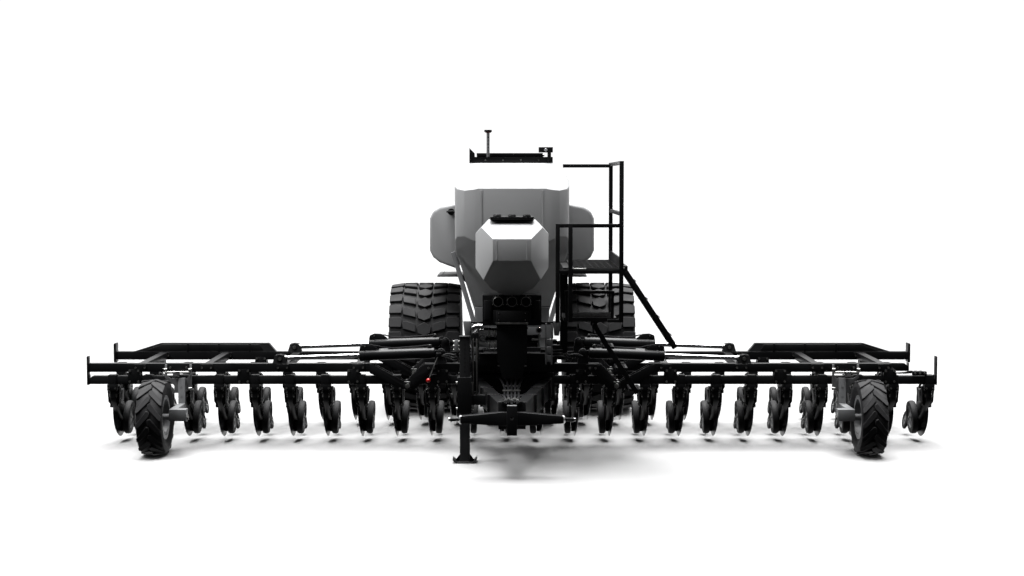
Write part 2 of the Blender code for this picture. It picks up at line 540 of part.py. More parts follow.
def tank_frame(grey):
    """Struts along the hopper's edges, feet on the rails and fender plates on curved brackets."""
    parts = []
    for side in SIDES.values():
        for y, head in ((TANK_FRONT + 0.36, (0.655, 2.02)), (TANK_BACK - 0.36, (0.556, 1.68))):
            parts.append(bar((side * head[0], y, head[1]), (side * 0.415, y, 1.20), 0.05, 0.05))
            parts.append(box(*mirrored(side, 0.32, 0.46), y - 0.06, y + 0.06, RAIL_TOP + GAP, 1.24))
        parts.append(box(*mirrored(side, 0.37, 0.44), TANK_FRONT + 0.30, TANK_BACK - 0.30, 1.10, 1.20))
        x0, x1 = mirrored(side, 0.60, 0.90)
        parts.append(box(x0, x1, AXLE_Y - 0.45, AXLE_Y + 0.45, 1.655, 1.675))
        rib = [(0.36, 1.20), (0.44, 1.20), (0.56, 1.58), (0.64, 1.66), (0.60, 1.67), (0.52, 1.62)]
        parts.append(prism([(side * u, v) for u, v in rib], "Y", AXLE_Y - 0.33, AXLE_Y - 0.29))
        parts.append(prism([(side * u, v) for u, v in rib], "Y", AXLE_Y + 0.29, AXLE_Y + 0.33))
    for y in (TANK_FRONT + 0.36, TANK_BACK - 0.36):
        parts.append(box(-0.40, 0.40, y - 0.03, y + 0.03, 1.10, 1.18))
    for y in (TANK_FRONT + 0.72, TANK_BACK - 0.72):
        parts.append(box(-0.42, 0.42, y - 0.04, y + 0.04, 1.11, TANK_BOTTOM - GAP))
    piece("tank_frame", joined(*parts), grey)


def side_tanks(plastic):
    for word, side in SIDES.items():
        outline = [(TANK_HALF + GAP, 1.76), (0.86, 1.84), (0.94, 1.90), (SIDE_OUT, 1.98), (SIDE_OUT, 2.36),
                   (0.94, 2.45), (0.86, SIDE_TOP), (TANK_HALF + GAP, 2.55)]
        mesh = prism([(side * u, v) for u, v in outline], "Y", SIDE_FRONT, SIDE_BACK)
        for face_y, way in ((SIDE_FRONT, -1), (SIDE_BACK, 1)):
            bm = bmesh.new()
            bm.from_mesh(mesh)
            for depth in (0.05, 0.12):
                parts = bm.verts[:] + bm.edges[:] + bm.faces[:]
                lean = math.radians(65 if depth == 0.05 else 30)
                point = (side * (SIDE_OUT - 0.12 + depth * 0.6), face_y - way * (0.12 - depth), 0)
                normal = (side * math.cos(lean), way * math.sin(lean), 0)
                done = bmesh.ops.bisect_plane(bm, geom=parts, plane_co=point, plane_no=normal,
                                              clear_outer=True)
                edges = [g for g in done["geom_cut"] if isinstance(g, bmesh.types.BMEdge)]
                bmesh.ops.holes_fill(bm, edges=edges)
            mesh = shape(bm)
        piece(f"side_tank_{word}", mesh, plastic)


def air_system(black, steel):
    """Front metering unit with its pipe mouths, fan and duct, bright bent ducts, rear metering unit."""
    y = SMALL_FRONT + 0.52
    body = [box(-0.30, 0.30, y - 0.02, y + 0.30, 1.34, SMALL_BOTTOM - GAP),
            box(-0.19, 0.19, y - 0.12, y + 0.02, 1.36, 1.50)]
    mouths = []
    for x in (-0.142, 0.0, 0.142):
        at = (x, 1.59)
        mouths.append(cut(disc("Y", at, 0.058, y - 0.10, y + 0.02, 14), disc("Y", at, 0.046, y - 0.2, y, 14)))
    piece("front_metering_unit", joined(*body, *mouths), black)
    top = 1.34 - GAP
    duct = [(-0.155, top), (0.155, top), (0.155, 1.06), (0.10, 0.80), (-0.10, 0.80), (-0.155, 1.06)]
    fan = disc("X", (y + 0.25, 1.10), 0.22, -0.15, 0.15, 14)
    cross = box(-0.40, 0.40, y + 0.10, y + 0.30, RAIL_TOP - 0.14, RAIL_TOP - 0.02)
    foot = box(-0.40, 0.40, y + 0.2, DRAWBAR_BACK, 0.84, 1.0)
    piece("fan", joined(prism(duct, "Y", y - 0.06, y + 0.28), fan, foot, cross), black)
    middle, inner_end, outer_end = y + 0.05, -0.155 - GAP, -0.405
    bends = [pipe((outer_end, middle, 1.27), (inner_end, middle, 1.27), 0.05),
             pipe((-0.37, middle, 1.28), (-0.37, middle, 1.12), 0.05),
             pipe((outer_end, middle, 1.15), (inner_end, middle, 1.15), 0.042)]
    piece("steel_air_duct", joined(*bends), steel)
    low, high = TANK_BOTTOM - 0.22, TANK_BOTTOM - GAP
    rear = [box(-0.30, 0.30, TANK_FRONT + 1.1, TANK_BACK - 1.1, low, high),
            disc("X", ((TANK_FRONT + TANK_BACK) / 2, low + 0.02), 0.10, -0.365, 0.365, 12)]
    piece("rear_metering_unit", joined(*rear), black)


def platform(black):
    """The deck beside the front tank with its guard frame, posts and railing, and the landing below it."""
    half, flat = POST / 2, 0.015
    x0, x1, y0, y1 = DECK_IN, DECK_OUT + half, DECK_FRONT, DECK_BACK
    parts = [box(x0, x1, y0, y1, DECK_Z - 0.03, DECK_Z)]
    for x, top, bottom in ((0.43, 2.41, 1.48), (0.55, 2.41, 1.48), (DECK_OUT, RAILING_TOP, 1.48)):
        parts.append(box(x - half, x + half, y0 - half, y0 + half, bottom, top))
    parts.append(box(0.43, DECK_OUT, y0 - flat, y0 + flat, 2.375, 2.41))
    parts.append(box(0.43, DECK_OUT, y0 - flat, y0 + flat, 1.94, 1.975))
    parts.append(box(0.9, DECK_OUT, y0 - flat, y0 + flat, 1.48, 1.51))
    parts.append(box(DECK_OUT - half, DECK_OUT + half, y1 - half, y1 + half, LANDING_Z, RAILING_TOP))
    for z in (2.485, RAILING_TOP - 0.035):
        parts.append(box(DECK_OUT - flat, DECK_OUT + flat, y0, y1, z, z + 0.035))
    parts.append(box(0.53, DECK_OUT, y1 - flat, y1 + flat, 2.95, 2.985))
    parts.append(box(DECK_OUT - 0.008, DECK_OUT + 0.008, y0, y1, DECK_Z - 0.01, DECK_Z + 0.10))
    parts.append(box(0.50, 0.58, y1 - 0.08, y1 - 0.015, 1.02, DECK_Z - 0.01))
    parts.append(box(0.50, 0.60, y1 - 1.2, y1 - 0.02, DECK_Z - 0.09, DECK_Z - 0.02))
    landing_front = y1 - 0.75
    parts.append(box(0.52, DECK_OUT + half, landing_front, y1, LANDING_Z - 0.02, LANDING_Z + 0.02))
    parts.append(box(0.53, DECK_OUT, landing_front, landing_front + 0.03, 1.68, 1.71))
    for x in (0.55, DECK_OUT - 0.02):
        parts.append(box(x - flat, x + flat, landing_front, landing_front + 0.03, LANDING_Z, 1.70))
    parts.append(box(0.42, 0.58, y1 - 0.08, y1 - 0.02, 1.02, 1.10))
    parts.append(box(0.415, 0.47, y1 - 0.08, DRAWBAR_BACK, 0.92, 1.10))
    piece("platform", joined(*parts), black)


def upper_ladder(black):
    """The fixed ladder that leads down and outwards from the deck."""
    parts = []
    head, foot = Vector((DECK_OUT + 0.08, 0, DECK_Z - 0.06)), Vector(UPPER_FOOT)
    y0, y1 = DECK_FRONT + 0.62, DECK_FRONT + 1.04
    for y in (y0, y1):
        parts.append(bar((head.x, y, head.z), (foot.x, y, foot.z), 0.03, 0.055))
    for i in range(4):
        at = head.lerp(foot, (i + 0.6) / 4.2)
        parts.append(box(at.x - 0.022, at.x + 0.022, y0, y1, at.z - 0.012, at.z + 0.012))
    parts.append(box(DECK_OUT + POST / 2 + GAP, head.x + 0.02, y0 - 0.012, y1 + 0.012, DECK_Z - 0.09,
                     DECK_Z - 0.001))
    piece("upper_ladder", joined(*parts), black)


def lower_ladder(black):
    """The folding ladder hung on a pin under the landing."""
    px, pz = STEP_PIVOT
    y0, y1 = DECK_BACK - 0.62, DECK_BACK - 0.22
    foot = Vector(LOWER_FOOT)
    pin = joined(disc("Y", STEP_PIVOT, 0.014, y0 - 0.03, y1 + 0.03, 10),
                 *[box(px - 0.02, px + 0.02, y - 0.01, y + 0.01, pz - 0.02, LANDING_Z - 0.02 - GAP)
                   for y in (y0 - 0.025, y1 + 0.025)])
    piece("ladder_pin", pin, black)
    parts = []
    for y in (y0, y1):
        parts.append(bar((px + 0.012, y, pz - 0.018), (foot.x, y, foot.z), 0.022, 0.05))
        parts.append(disc("Y", STEP_PIVOT, 0.032, y - 0.011, y + 0.011, 12))
    for i in range(3):
        at = Vector((px, 0, pz)).lerp(foot, (i + 1) / 3.15)
        parts.append(box(at.x - 0.06, at.x + 0.06, y0, y1, at.z - 0.012, at.z + 0.012))
    hole = disc("Y", STEP_PIVOT, 0.0150, y0 - 0.1, y1 + 0.1, 10)
    piece("lower_ladder", cut(joined(*parts), hole), black, (px, y0, pz))


def build():
    clear_scene()
    black = paint("black_paint", (0.018, 0.019, 0.021), 0.35)
    grey = paint("grey_paint", (0.42, 0.43, 0.43), 0.4)
    plastic = paint("tank_plastic", (0.62, 0.63, 0.63), 0.5)
    rubber = paint("rubber", (0.025, 0.025, 0.027), 0.85)
    chrome = paint("chrome", (0.8, 0.8, 0.8), 0.08, 1.0)
    steel = paint("stainless", (0.7, 0.7, 0.7), 0.2, 1.0)
    main_frame(black)
    drawbar(black)
    hitch_crossbar(black)
    jack(black)
    rear_axle(black)
    wings(black, grey, chrome)
    main_tank(plastic)
    hatch(black)
    front_tank(plastic, black)
    tank_frame(grey)
    side_tanks(plastic)
    air_system(black, steel)
    platform(black)
    upper_ladder(black)
    lower_ladder(black)
    for word, side in SIDES.items():
        wheel(f"main_wheel_{word}", side, (side * MAIN_X, AXLE_Y, MAIN_R), MAIN_R, MAIN_WIDTH,
              MAIN_RIM_R, rubber, grey, 24)
        wheel(f"wing_wheel_{word}", side, (side * WING_X, WING_AXLE_Y, WING_R), WING_R, WING_WIDTH,
              WING_RIM_R, rubber, grey, 20)


build()
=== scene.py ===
# %% [markdown]
# # A trailed seed drill, finished on its imported frame
# This script dresses them: round tyres with tread, openers with real discs and springs, softened steel, moulded
# tanks and hoses. Nothing that follows may make the drill larger.

# %% Load the frame
import json
import math

import bpy
from mathutils import Matrix, Vector


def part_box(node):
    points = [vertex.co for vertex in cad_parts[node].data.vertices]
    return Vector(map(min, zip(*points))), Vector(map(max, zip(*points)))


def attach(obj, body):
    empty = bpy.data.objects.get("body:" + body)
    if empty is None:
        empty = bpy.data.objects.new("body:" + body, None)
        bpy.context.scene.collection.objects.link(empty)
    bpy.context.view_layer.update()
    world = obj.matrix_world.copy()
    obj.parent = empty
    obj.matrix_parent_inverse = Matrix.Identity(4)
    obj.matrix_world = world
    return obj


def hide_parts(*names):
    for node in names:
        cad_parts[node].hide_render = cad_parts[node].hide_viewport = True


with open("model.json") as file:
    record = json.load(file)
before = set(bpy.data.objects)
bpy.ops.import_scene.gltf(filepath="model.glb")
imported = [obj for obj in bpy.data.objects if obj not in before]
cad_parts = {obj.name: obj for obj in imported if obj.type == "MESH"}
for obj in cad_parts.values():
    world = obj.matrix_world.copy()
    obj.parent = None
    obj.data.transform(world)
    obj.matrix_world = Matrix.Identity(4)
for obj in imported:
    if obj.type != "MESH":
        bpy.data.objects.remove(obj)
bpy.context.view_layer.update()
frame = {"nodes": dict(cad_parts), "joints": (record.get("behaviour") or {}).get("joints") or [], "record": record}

# %% [markdown]
# ## Where things are
# Many places are read from the frame: the middle of a node's box gives an axle or a toolbar, and the hinge and
# cylinder places come from the joints in the record; others, such as the rod eyes and the wing's end, are given as
# numbers. Left is +X and right is -X, as the drill travels to -Y.

# %% Places read from the frame
SIDES = {"left": 1, "right": -1}
joints = {j["name"]: j for j in frame["joints"]}
FRONT_BAR = sum((c.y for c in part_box("front_cylinder_left_rod")), 0.0) / 2
REAR_BAR = sum((c.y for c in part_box("rear_cylinder_left_rod")), 0.0) / 2
HINGE = Vector(joints["wing_left_fold"]["pos_m"])
ROD_EYE_X, ROD_EYE_Z = 2.45, 0.94
WING_END, BEAM_FACE = 4.47, 0.0505
MAIN_AXLE = Vector(joints["main_wheel_left_spin"]["pos_m"])
WING_AXLE = Vector(joints["wing_wheel_left_spin"]["pos_m"])
BODY_OF = {node: body for body, nodes in frame["record"]["behaviour"]["bodies"].items() for node in nodes}
print(f"toolbars at y {FRONT_BAR:.2f} and {REAR_BAR:.2f}, hinge at {HINGE.x:.2f}, {HINGE.z:.2f}")

# %% [markdown]
# ## Camera, floor and light
# The drill is seen from straight ahead with a long lens at about the height of the tank's roof, tipped down
# a little. A wide soft sun above and two large lamps to the sides give the tanks their white tops. The
# floor throws no light back, so faces that look down stay dark.

# %% Camera
LENS, CAMERA_AT, TIP = 63.3, (0.0, -19.83, 2.83), 3.46
bpy.ops.object.camera_add(location=CAMERA_AT, rotation=(math.radians(90 - TIP), 0, 0))
camera = bpy.context.object
camera.data.lens = LENS
camera.data.sensor_width = 36
bpy.context.scene.camera = camera

# %% Floor and lamps
bpy.ops.mesh.primitive_plane_add(size=400, location=(0, 0, 0))
floor = bpy.context.object
floor.name = "studio_floor"
floor.visible_diffuse = False
floor.visible_glossy = False


def lamp(name, place, aim, size, power):
    """A soft square lamp that looks at a point."""
    bpy.ops.object.light_add(type="AREA", location=place)
    made = bpy.context.object
    made.name = name
    made.data.size = size
    made.data.energy = power
    made.rotation_euler = (Vector(aim) - Vector(place)).to_track_quat("-Z", "Y").to_euler()
    return made


bpy.ops.object.light_add(type="SUN", location=(0, 2, 14), rotation=(math.radians(-8), 0, 0))
ceiling = bpy.context.object
ceiling.name = "ceiling_light"
ceiling.data.energy = 15.0
ceiling.data.angle = math.radians(50)
lamp("side_lamp_left", (8, -6, 9), (0, 0, 1.5), 4, 200)
lamp("side_lamp_right", (-8, -4, 9), (0, 0, 1.5), 4, 1100)

# %% The room
# The walls are white behind the drill and grey in front of it, where the light comes from above alone.
world = bpy.data.worlds.new("studio")
bpy.context.scene.world = world
world.use_nodes = True
tree = world.node_tree
way = tree.nodes.new("ShaderNodeTexCoord")
split = tree.nodes.new("ShaderNodeSeparateXYZ")
room = tree.nodes.new("ShaderNodeMapRange")
room.inputs["From Min"].default_value = -0.1
room.inputs["From Max"].default_value = 0.7
room.inputs["To Min"].default_value = 0.05
room.inputs["To Max"].default_value = 1.06
tree.links.new(way.outputs["Generated"], split.inputs["Vector"])
tree.links.new(split.outputs["Y"], room.inputs["Value"])
tree.links.new(room.outputs["Result"], tree.nodes["Background"].inputs["Strength"])
tree.nodes["Background"].inputs["Color"].default_value = (1, 1, 1, 1)
bpy.context.scene.view_settings.view_transform = "Standard"
print("camera at", CAMERA_AT, "with a", LENS, "mm lens")

# %% [markdown]
# ## Finishes
# Paint, plastic and rubber are never one even colour. Three shared groups make what they have in common: a
# slow cloudiness with fine speckle, dust that settles on faces that look up, and the fine relief of the
# surface. Each material places the groups with its own values, and the shader itself stays in the material.

# %% The shared groups


def new_group(name, inputs, outputs):
    """An empty node group with its sockets, its input node and its output node."""
    group = bpy.data.node_groups.new(name, "ShaderNodeTree")
    for label, kind, value in inputs:
        socket = group.interface.new_socket(name=label, in_out="INPUT", socket_type=kind)
        socket.default_value = value
    for label, kind in outputs:
        group.interface.new_socket(name=label, in_out="OUTPUT", socket_type=kind)
    return group, group.nodes.new("NodeGroupInput"), group.nodes.new("NodeGroupOutput")


def fill(made, inputs):
    """Sets a node's input values by name."""
    for label, value in inputs.items():
        made.inputs[label].default_value = value


def node(tree, kind, inputs=None, **values):
    """A new node with its input values and its settings."""
    made = tree.nodes.new(kind)
    for key, value in values.items():
        setattr(made, key, value)
    fill(made, inputs or {})
    return made


def wire(tree, *runs):
    """Links sockets: each run is a node, its output, the next node and its input."""
    for source, out, target, into in runs:
        tree.links.new(source.outputs[out], target.inputs[into])


def make_clouds():
    """Two shades mixed by slow noise and fine speckle; puts out the colour and the noise as a mask."""
    group, given, result = new_group(
        "cloudy_colour",
        [("Light", "NodeSocketColor", (1, 1, 1, 1)), ("Dark", "NodeSocketColor", (0, 0, 0, 1)),
         ("Size", "NodeSocketFloat", 3.0), ("Speckle", "NodeSocketFloat", 0.3)],
        [("Color", "NodeSocketColor"), ("Mask", "NodeSocketFloat")])
    place = node(group, "ShaderNodeTexCoord")
    slow = node(group, "ShaderNodeTexNoise", {"Detail": 5})
    fine = node(group, "ShaderNodeTexNoise", {"Scale": 260})
    wire(group, (place, "Object", slow, "Vector"), (place, "Object", fine, "Vector"),
         (given, "Size", slow, "Scale"))
    blend = node(group, "ShaderNodeMix", data_type="FLOAT")
    wire(group, (given, "Speckle", blend, "Factor"), (slow, "Fac", blend, "A"), (fine, "Fac", blend, "B"))
    spread = node(group, "ShaderNodeMapRange", {"From Min": 0.32, "From Max": 0.68})
    wire(group, (blend, "Result", spread, "Value"))
    colour = node(group, "ShaderNodeMix", data_type="RGBA")
    wire(group, (spread, "Result", colour, "Factor"), (given, "Dark", colour, "A"),
         (given, "Light", colour, "B"), (colour, "Result", result, "Color"),
         (spread, "Result", result, "Mask"))
    return group


def make_dust():
    """Dust on faces that look up, broken by noise; puts out the dusted colour and the dust as a mask."""
    group, given, result = new_group(
        "settled_dust",
        [("Color", "NodeSocketColor", (1, 1, 1, 1)), ("Dust", "NodeSocketColor", (0.4, 0.38, 0.35, 1)),
         ("Amount", "NodeSocketFloat", 0.15)],
        [("Color", "NodeSocketColor"), ("Mask", "NodeSocketFloat")])
    shape = node(group, "ShaderNodeNewGeometry")
    split = node(group, "ShaderNodeSeparateXYZ")
    place = node(group, "ShaderNodeTexCoord")
    noise = node(group, "ShaderNodeTexNoise", {"Scale": 14, "Detail": 6})
    wire(group, (place, "Object", noise, "Vector"), (shape, "Normal", split, "Vector"))
    up = node(group, "ShaderNodeMapRange", {"From Min": 0.2})
    wire(group, (split, "Z", up, "Value"))
    spots = node(group, "ShaderNodeMath", operation="MULTIPLY")
    wire(group, (up, "Result", spots, 0), (noise, "Fac", spots, 1))
    mask = node(group, "ShaderNodeMath", operation="MULTIPLY", use_clamp=True)
    wire(group, (spots, "Value", mask, 0), (given, "Amount", mask, 1))
    colour = node(group, "ShaderNodeMix", data_type="RGBA")
    wire(group, (mask, "Value", colour, "Factor"), (given, "Color", colour, "A"),
         (given, "Dust", colour, "B"), (colour, "Result", result, "Color"), (mask, "Value", result, "Mask"))
    return group


def make_finish():
    """Roughness that varies with a mask, and the height of a fine relief."""
    group, given, result = new_group(
        "surface_finish",
        [("Mask", "NodeSocketFloat", 0.5), ("Smooth", "NodeSocketFloat", 0.3),
         ("Rough", "NodeSocketFloat", 0.5),
         ("Grain", "NodeSocketFloat", 120.0)],
        [("Roughness", "NodeSocketFloat"), ("Height", "NodeSocketFloat")])
    place = node(group, "ShaderNodeTexCoord")
    noise = node(group, "ShaderNodeTexNoise", {"Detail": 3})
    wire(group, (place, "Object", noise, "Vector"), (given, "Grain", noise, "Scale"))
    rough = node(group, "ShaderNodeMapRange")
    wire(group, (given, "Mask", rough, "Value"), (given, "Smooth", rough, "To Min"),
         (given, "Rough", rough, "To Max"), (rough, "Result", result, "Roughness"),
         (noise, "Fac", result, "Height"))
    return group


CLOUDS, DUST, FINISH = make_clouds(), make_dust(), make_finish()

# %% The materials


def finish(name, light, dark, smooth, rough, size=2.5, speckle=0.25, grain=150.0, relief=0.05, dust=0.0,
           metallic=0.0, coat=0.0, gloss=0.5):
    """A material from the three groups: cloudy colour, then dust, then roughness and relief."""
    made = bpy.data.materials.new(name)
    made.use_nodes = True
    tree = made.node_tree
    shader = tree.nodes["Principled BSDF"]
    fill(shader, {"Metallic": metallic, "Coat Weight": coat, "Specular IOR Level": gloss})
    clouds = node(tree, "ShaderNodeGroup", {"Light": (*light, 1), "Dark": (*dark, 1), "Size": size,
                                            "Speckle": speckle}, node_tree=CLOUDS)
    settled = node(tree, "ShaderNodeGroup", {"Amount": dust}, node_tree=DUST)
    surface = node(tree, "ShaderNodeGroup", {"Smooth": smooth, "Rough": rough, "Grain": grain},
                   node_tree=FINISH)
    bump = node(tree, "ShaderNodeBump", {"Strength": relief, "Distance": 0.002})
    wire(tree, (clouds, "Color", settled, "Color"), (settled, "Color", shader, "Base Color"),
         (clouds, "Mask", surface, "Mask"), (surface, "Roughness", shader, "Roughness"),
         (surface, "Height", bump, "Height"), (bump, "Normal", shader, "Normal"))
    return made


BLACK = finish("black_paint", (0.0060, 0.0062, 0.0066), (0.0030, 0.0030, 0.0034), 0.30, 0.44, dust=0.004,
               gloss=0.16)
SATIN = finish("satin_black", (0.010, 0.010, 0.011), (0.005, 0.005, 0.005), 0.45, 0.62, dust=0.006,
               relief=0.12, gloss=0.12)
GREY = finish("grey_paint", (0.150, 0.152, 0.155), (0.105, 0.107, 0.110), 0.34, 0.48, dust=0.02, gloss=0.25)
PLASTIC = finish("moulded_tank_plastic", (0.250, 0.252, 0.255), (0.215, 0.217, 0.220), 0.42, 0.55, size=1.2,
                 grain=420.0,
                 relief=0.08, gloss=0.25)
RUBBER = finish("tyre_rubber", (0.014, 0.014, 0.015), (0.007, 0.007, 0.0075), 0.55, 0.80, size=5.0,
                grain=300.0,
                relief=0.25, dust=0.02, gloss=0.16)
HOSE = finish("hose_rubber", (0.008, 0.008, 0.009), (0.004, 0.004, 0.0045), 0.38, 0.55, relief=0.10,
              gloss=0.15)
CHROME = finish("hard_chrome", (0.55, 0.55, 0.56), (0.48, 0.48, 0.49), 0.10, 0.18, relief=0.01, metallic=1.0)
STEEL = finish("bright_steel", (0.50, 0.50, 0.50), (0.38, 0.38, 0.39), 0.16, 0.30, size=8.0, relief=0.03,
               metallic=1.0)
ZINC = finish("zinc_plate", (0.30, 0.30, 0.29), (0.16, 0.16, 0.155), 0.28, 0.45, size=20.0, relief=0.06,
              metallic=1.0)
DISC = finish("disc_steel", (0.060, 0.060, 0.060), (0.020, 0.020, 0.020), 0.25, 0.45, size=10.0, relief=0.05,
              metallic=0.8)
RED = finish("red_knob", (0.42, 0.02, 0.02), (0.32, 0.01, 0.01), 0.22, 0.32, relief=0.02)
DARK_RED = finish("dark_red_cap", (0.10, 0.012, 0.012), (0.06, 0.008, 0.008), 0.30, 0.45, relief=0.02,
                  gloss=0.2)
FLOOR = finish("pale_floor", (0.245, 0.245, 0.245), (0.238, 0.238, 0.238), 0.70, 0.80, size=0.3, relief=0.02,
               gloss=0.0)
LENS_CLEAR = finish("clear_lens", (0.75, 0.76, 0.78), (0.55, 0.56, 0.58), 0.05, 0.10, relief=0.02,
                    metallic=0.6)
floor.data.materials.append(FLOOR)
print(len(bpy.data.materials), "materials from", len(bpy.data.node_groups), "shared groups")

# %% [markdown]
# ## The workbench
# Each piece starts as a primitive, is shaped in edit mode and finished by modifiers that are applied. A few
# helpers keep that short. An outline is a filled circle whose corners are moved to their places and then
# extruded. A softened copy takes a plain solid of the frame, merges its loose triangles and rounds its
# edges, so that the light catches them as it does on folded and welded steel.

# %% Helpers for selecting, finishing and joining


def only(obj):
    """Selects one object and nothing else."""
    bpy.ops.object.select_all(action="DESELECT")
    obj.select_set(True)
    bpy.context.view_layer.objects.active = obj


def modify(obj, kind, **values):
    """Adds a modifier with these values and applies it."""
    only(obj)
    made = obj.modifiers.new(kind.lower(), kind)
    for key, value in values.items():
        setattr(made, key, value)
    bpy.ops.object.modifier_apply(modifier=made.name)
    return obj


def rounded(obj, width, segments=2):
    """Rounds the sharp edges of an object."""
    return modify(obj, "BEVEL", width=width, segments=segments, limit_method="ANGLE", harden_normals=False)


def painted(obj, material):
    """Gives an object one material."""
    obj.data.materials.clear()
    obj.data.materials.append(material)
    return obj


def block(low, high, material, edge=0.004):
    """A box between two corners with softened edges."""
    low, high = Vector(low), Vector(high)
    bpy.ops.mesh.primitive_cube_add(size=1, location=(low + high) / 2)
    made = bpy.context.object
    made.scale = high - low
    bpy.ops.object.transform_apply()
    return painted(rounded(made, edge) if edge else made, material)


def rod(start, end, radius, material, sides=16, edge=0.0, tip=None):
    """A round bar between two points, or a cone where the tip has its own radius."""
    start, end = Vector(start), Vector(end)
    bpy.ops.mesh.primitive_cone_add(vertices=sides, radius1=radius, radius2=radius if tip is None else tip,
                                    depth=(end - start).length)
    made = bpy.context.object
    turn = Vector((0, 0, 1)).rotation_difference(end - start).to_matrix().to_4x4()
    made.matrix_world = Matrix.Translation((start + end) / 2) @ turn
    bpy.ops.object.transform_apply()
    return painted(rounded(made, edge) if edge else made, material)


def extruded(outline, axis, start, end, material, edge=0.003):
    """An outline pushed along an axis: its points are (y, z) for X, (x, z) for Y and (x, y) for Z."""
    place = {"X": lambda p: (start, p[0], p[1]), "Y": lambda p: (p[0], start, p[1]),
             "Z": lambda p: (p[0], p[1], start)}[axis]
    push = Vector((axis == "X", axis == "Y", axis == "Z")) * (end - start)
    bpy.ops.mesh.primitive_circle_add(vertices=len(outline), fill_type="NGON")
    made = bpy.context.object
    for vertex, point in zip(made.data.vertices, outline):
        vertex.co = place(point)
    bpy.ops.object.mode_set(mode="EDIT")
    bpy.ops.mesh.select_all(action="SELECT")
    bpy.ops.mesh.extrude_region_move(TRANSFORM_OT_translate={"value": push})
    bpy.ops.mesh.select_all(action="SELECT")
    bpy.ops.mesh.normals_make_consistent(inside=False)
    bpy.ops.object.mode_set(mode="OBJECT")
    return painted(rounded(made, edge) if edge else made, material)


def turned(profile, centre, material, sides=48, axis="X"):
    """A closed profile of (along, radius) points turned round an axis by the Screw modifier."""
    bpy.ops.mesh.primitive_circle_add(vertices=len(profile))
    made = bpy.context.object
    for vertex, (along, radius) in zip(made.data.vertices, profile):
        vertex.co = (along, 0, radius) if axis == "X" else (radius, 0, along)
    modify(made, "SCREW", axis=axis, steps=sides, render_steps=sides, use_merge_vertices=True,
           merge_threshold=0.0001, use_smooth_shade=True)
    bpy.ops.object.mode_set(mode="EDIT")
    bpy.ops.mesh.select_all(action="SELECT")
    bpy.ops.mesh.remove_doubles(threshold=0.0001)
    bpy.ops.mesh.normals_make_consistent(inside=False)
    bpy.ops.object.mode_set(mode="OBJECT")
    made.data.transform(Matrix.Translation(centre))
    return painted(made, material)


def tube(points, radius, material, sides=10, smooth=True):
    """A round tube along a smooth curve through the points."""
    bpy.ops.curve.primitive_nurbs_path_add()
    path = bpy.context.object
    path.data.splines.clear()
    line = path.data.splines.new("BEZIER" if smooth else "POLY")
    if smooth:
        line.bezier_points.add(len(points) - 1)
        for knot, point in zip(line.bezier_points, points):
            knot.co = point
            knot.handle_left_type = knot.handle_right_type = "AUTO"
    else:
        line.points.add(len(points) - 1)
        for knot, point in zip(line.points, points):
            knot.co = (*point, 1)
    path.data.resolution_u = 8
    path.data.bevel_depth = radius
    path.data.bevel_resolution = max(1, sides // 4 - 1)
    path.data.use_fill_caps = True
    only(path)
    bpy.ops.object.convert(target="MESH")
    return painted(bpy.context.object, material)


def moved(obj, matrix):
    """Moves a mesh by a matrix; a mirroring matrix has its faces turned back."""
    obj.data.transform(matrix)
    if matrix.determinant() < 0:
        obj.data.flip_normals()
    return obj


def copy_of(obj, matrix=Matrix.Identity(4)):
    """A copy with its own mesh, moved by a matrix."""
    made = bpy.data.objects.new(obj.name, obj.data.copy())
    bpy.context.scene.collection.objects.link(made)
    return moved(made, matrix)


def merged(parts):
    """The parts as one object."""
    bpy.ops.object.select_all(action="DESELECT")
    for part in parts:
        part.select_set(True)
    bpy.context.view_layer.objects.active = parts[0]
    if len(parts) > 1:
        bpy.ops.object.join()
    return bpy.context.view_layer.objects.active


def piece(name, parts, body, nodes=(), angle=35):
    """Joins parts into a finished, named piece that rides on a body and stands for CAD nodes."""
    made = merged(parts)
    made.name = made.data.name = name
    only(made)
    bpy.ops.object.shade_smooth_by_angle(angle=math.radians(angle))
    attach(made, body)
    if nodes:
        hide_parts(*nodes)
    return made


def softened(node_name, material, width=0.004, segments=2):
    """A copy of a frame node with its triangles merged into faces and its edges rounded."""
    made = copy_of(frame["nodes"][node_name])
    only(made)
    bpy.ops.object.mode_set(mode="EDIT")
    bpy.ops.mesh.select_all(action="SELECT")
    bpy.ops.mesh.remove_doubles(threshold=0.00005)
    bpy.ops.mesh.dissolve_limited(angle_limit=math.radians(1))
    bpy.ops.object.mode_set(mode="OBJECT")
    return painted(rounded(made, width, segments), material)


print("workbench ready")

# %% [markdown]
# ## Wheels
# A tyre is a turned casing with its tread wrapped round it. The big tyres have blocks in rows: a middle
# block like an arrowhead, slanted blocks beside it and square shoulders. The wing wheels have bars that
# meet in a V. One block of each kind is modelled flat, then copied and wrapped onto the crown, which falls
# away to the sides.

# %% Wrapping a flat block round a tyre


def wrapped(flat, centre, radius, crown, phase):
    """A flat block (x across, y round the tyre, z up from the tread) as a copy bent onto the casing."""
    made = copy_of(flat)
    for vertex in made.data.vertices:
        x, y, z = vertex.co
        r = radius - crown(x) + z
        a = phase + y / radius
        vertex.co = (centre.x + x, centre.y + r * math.sin(a), centre.z + r * math.cos(a))
    return made


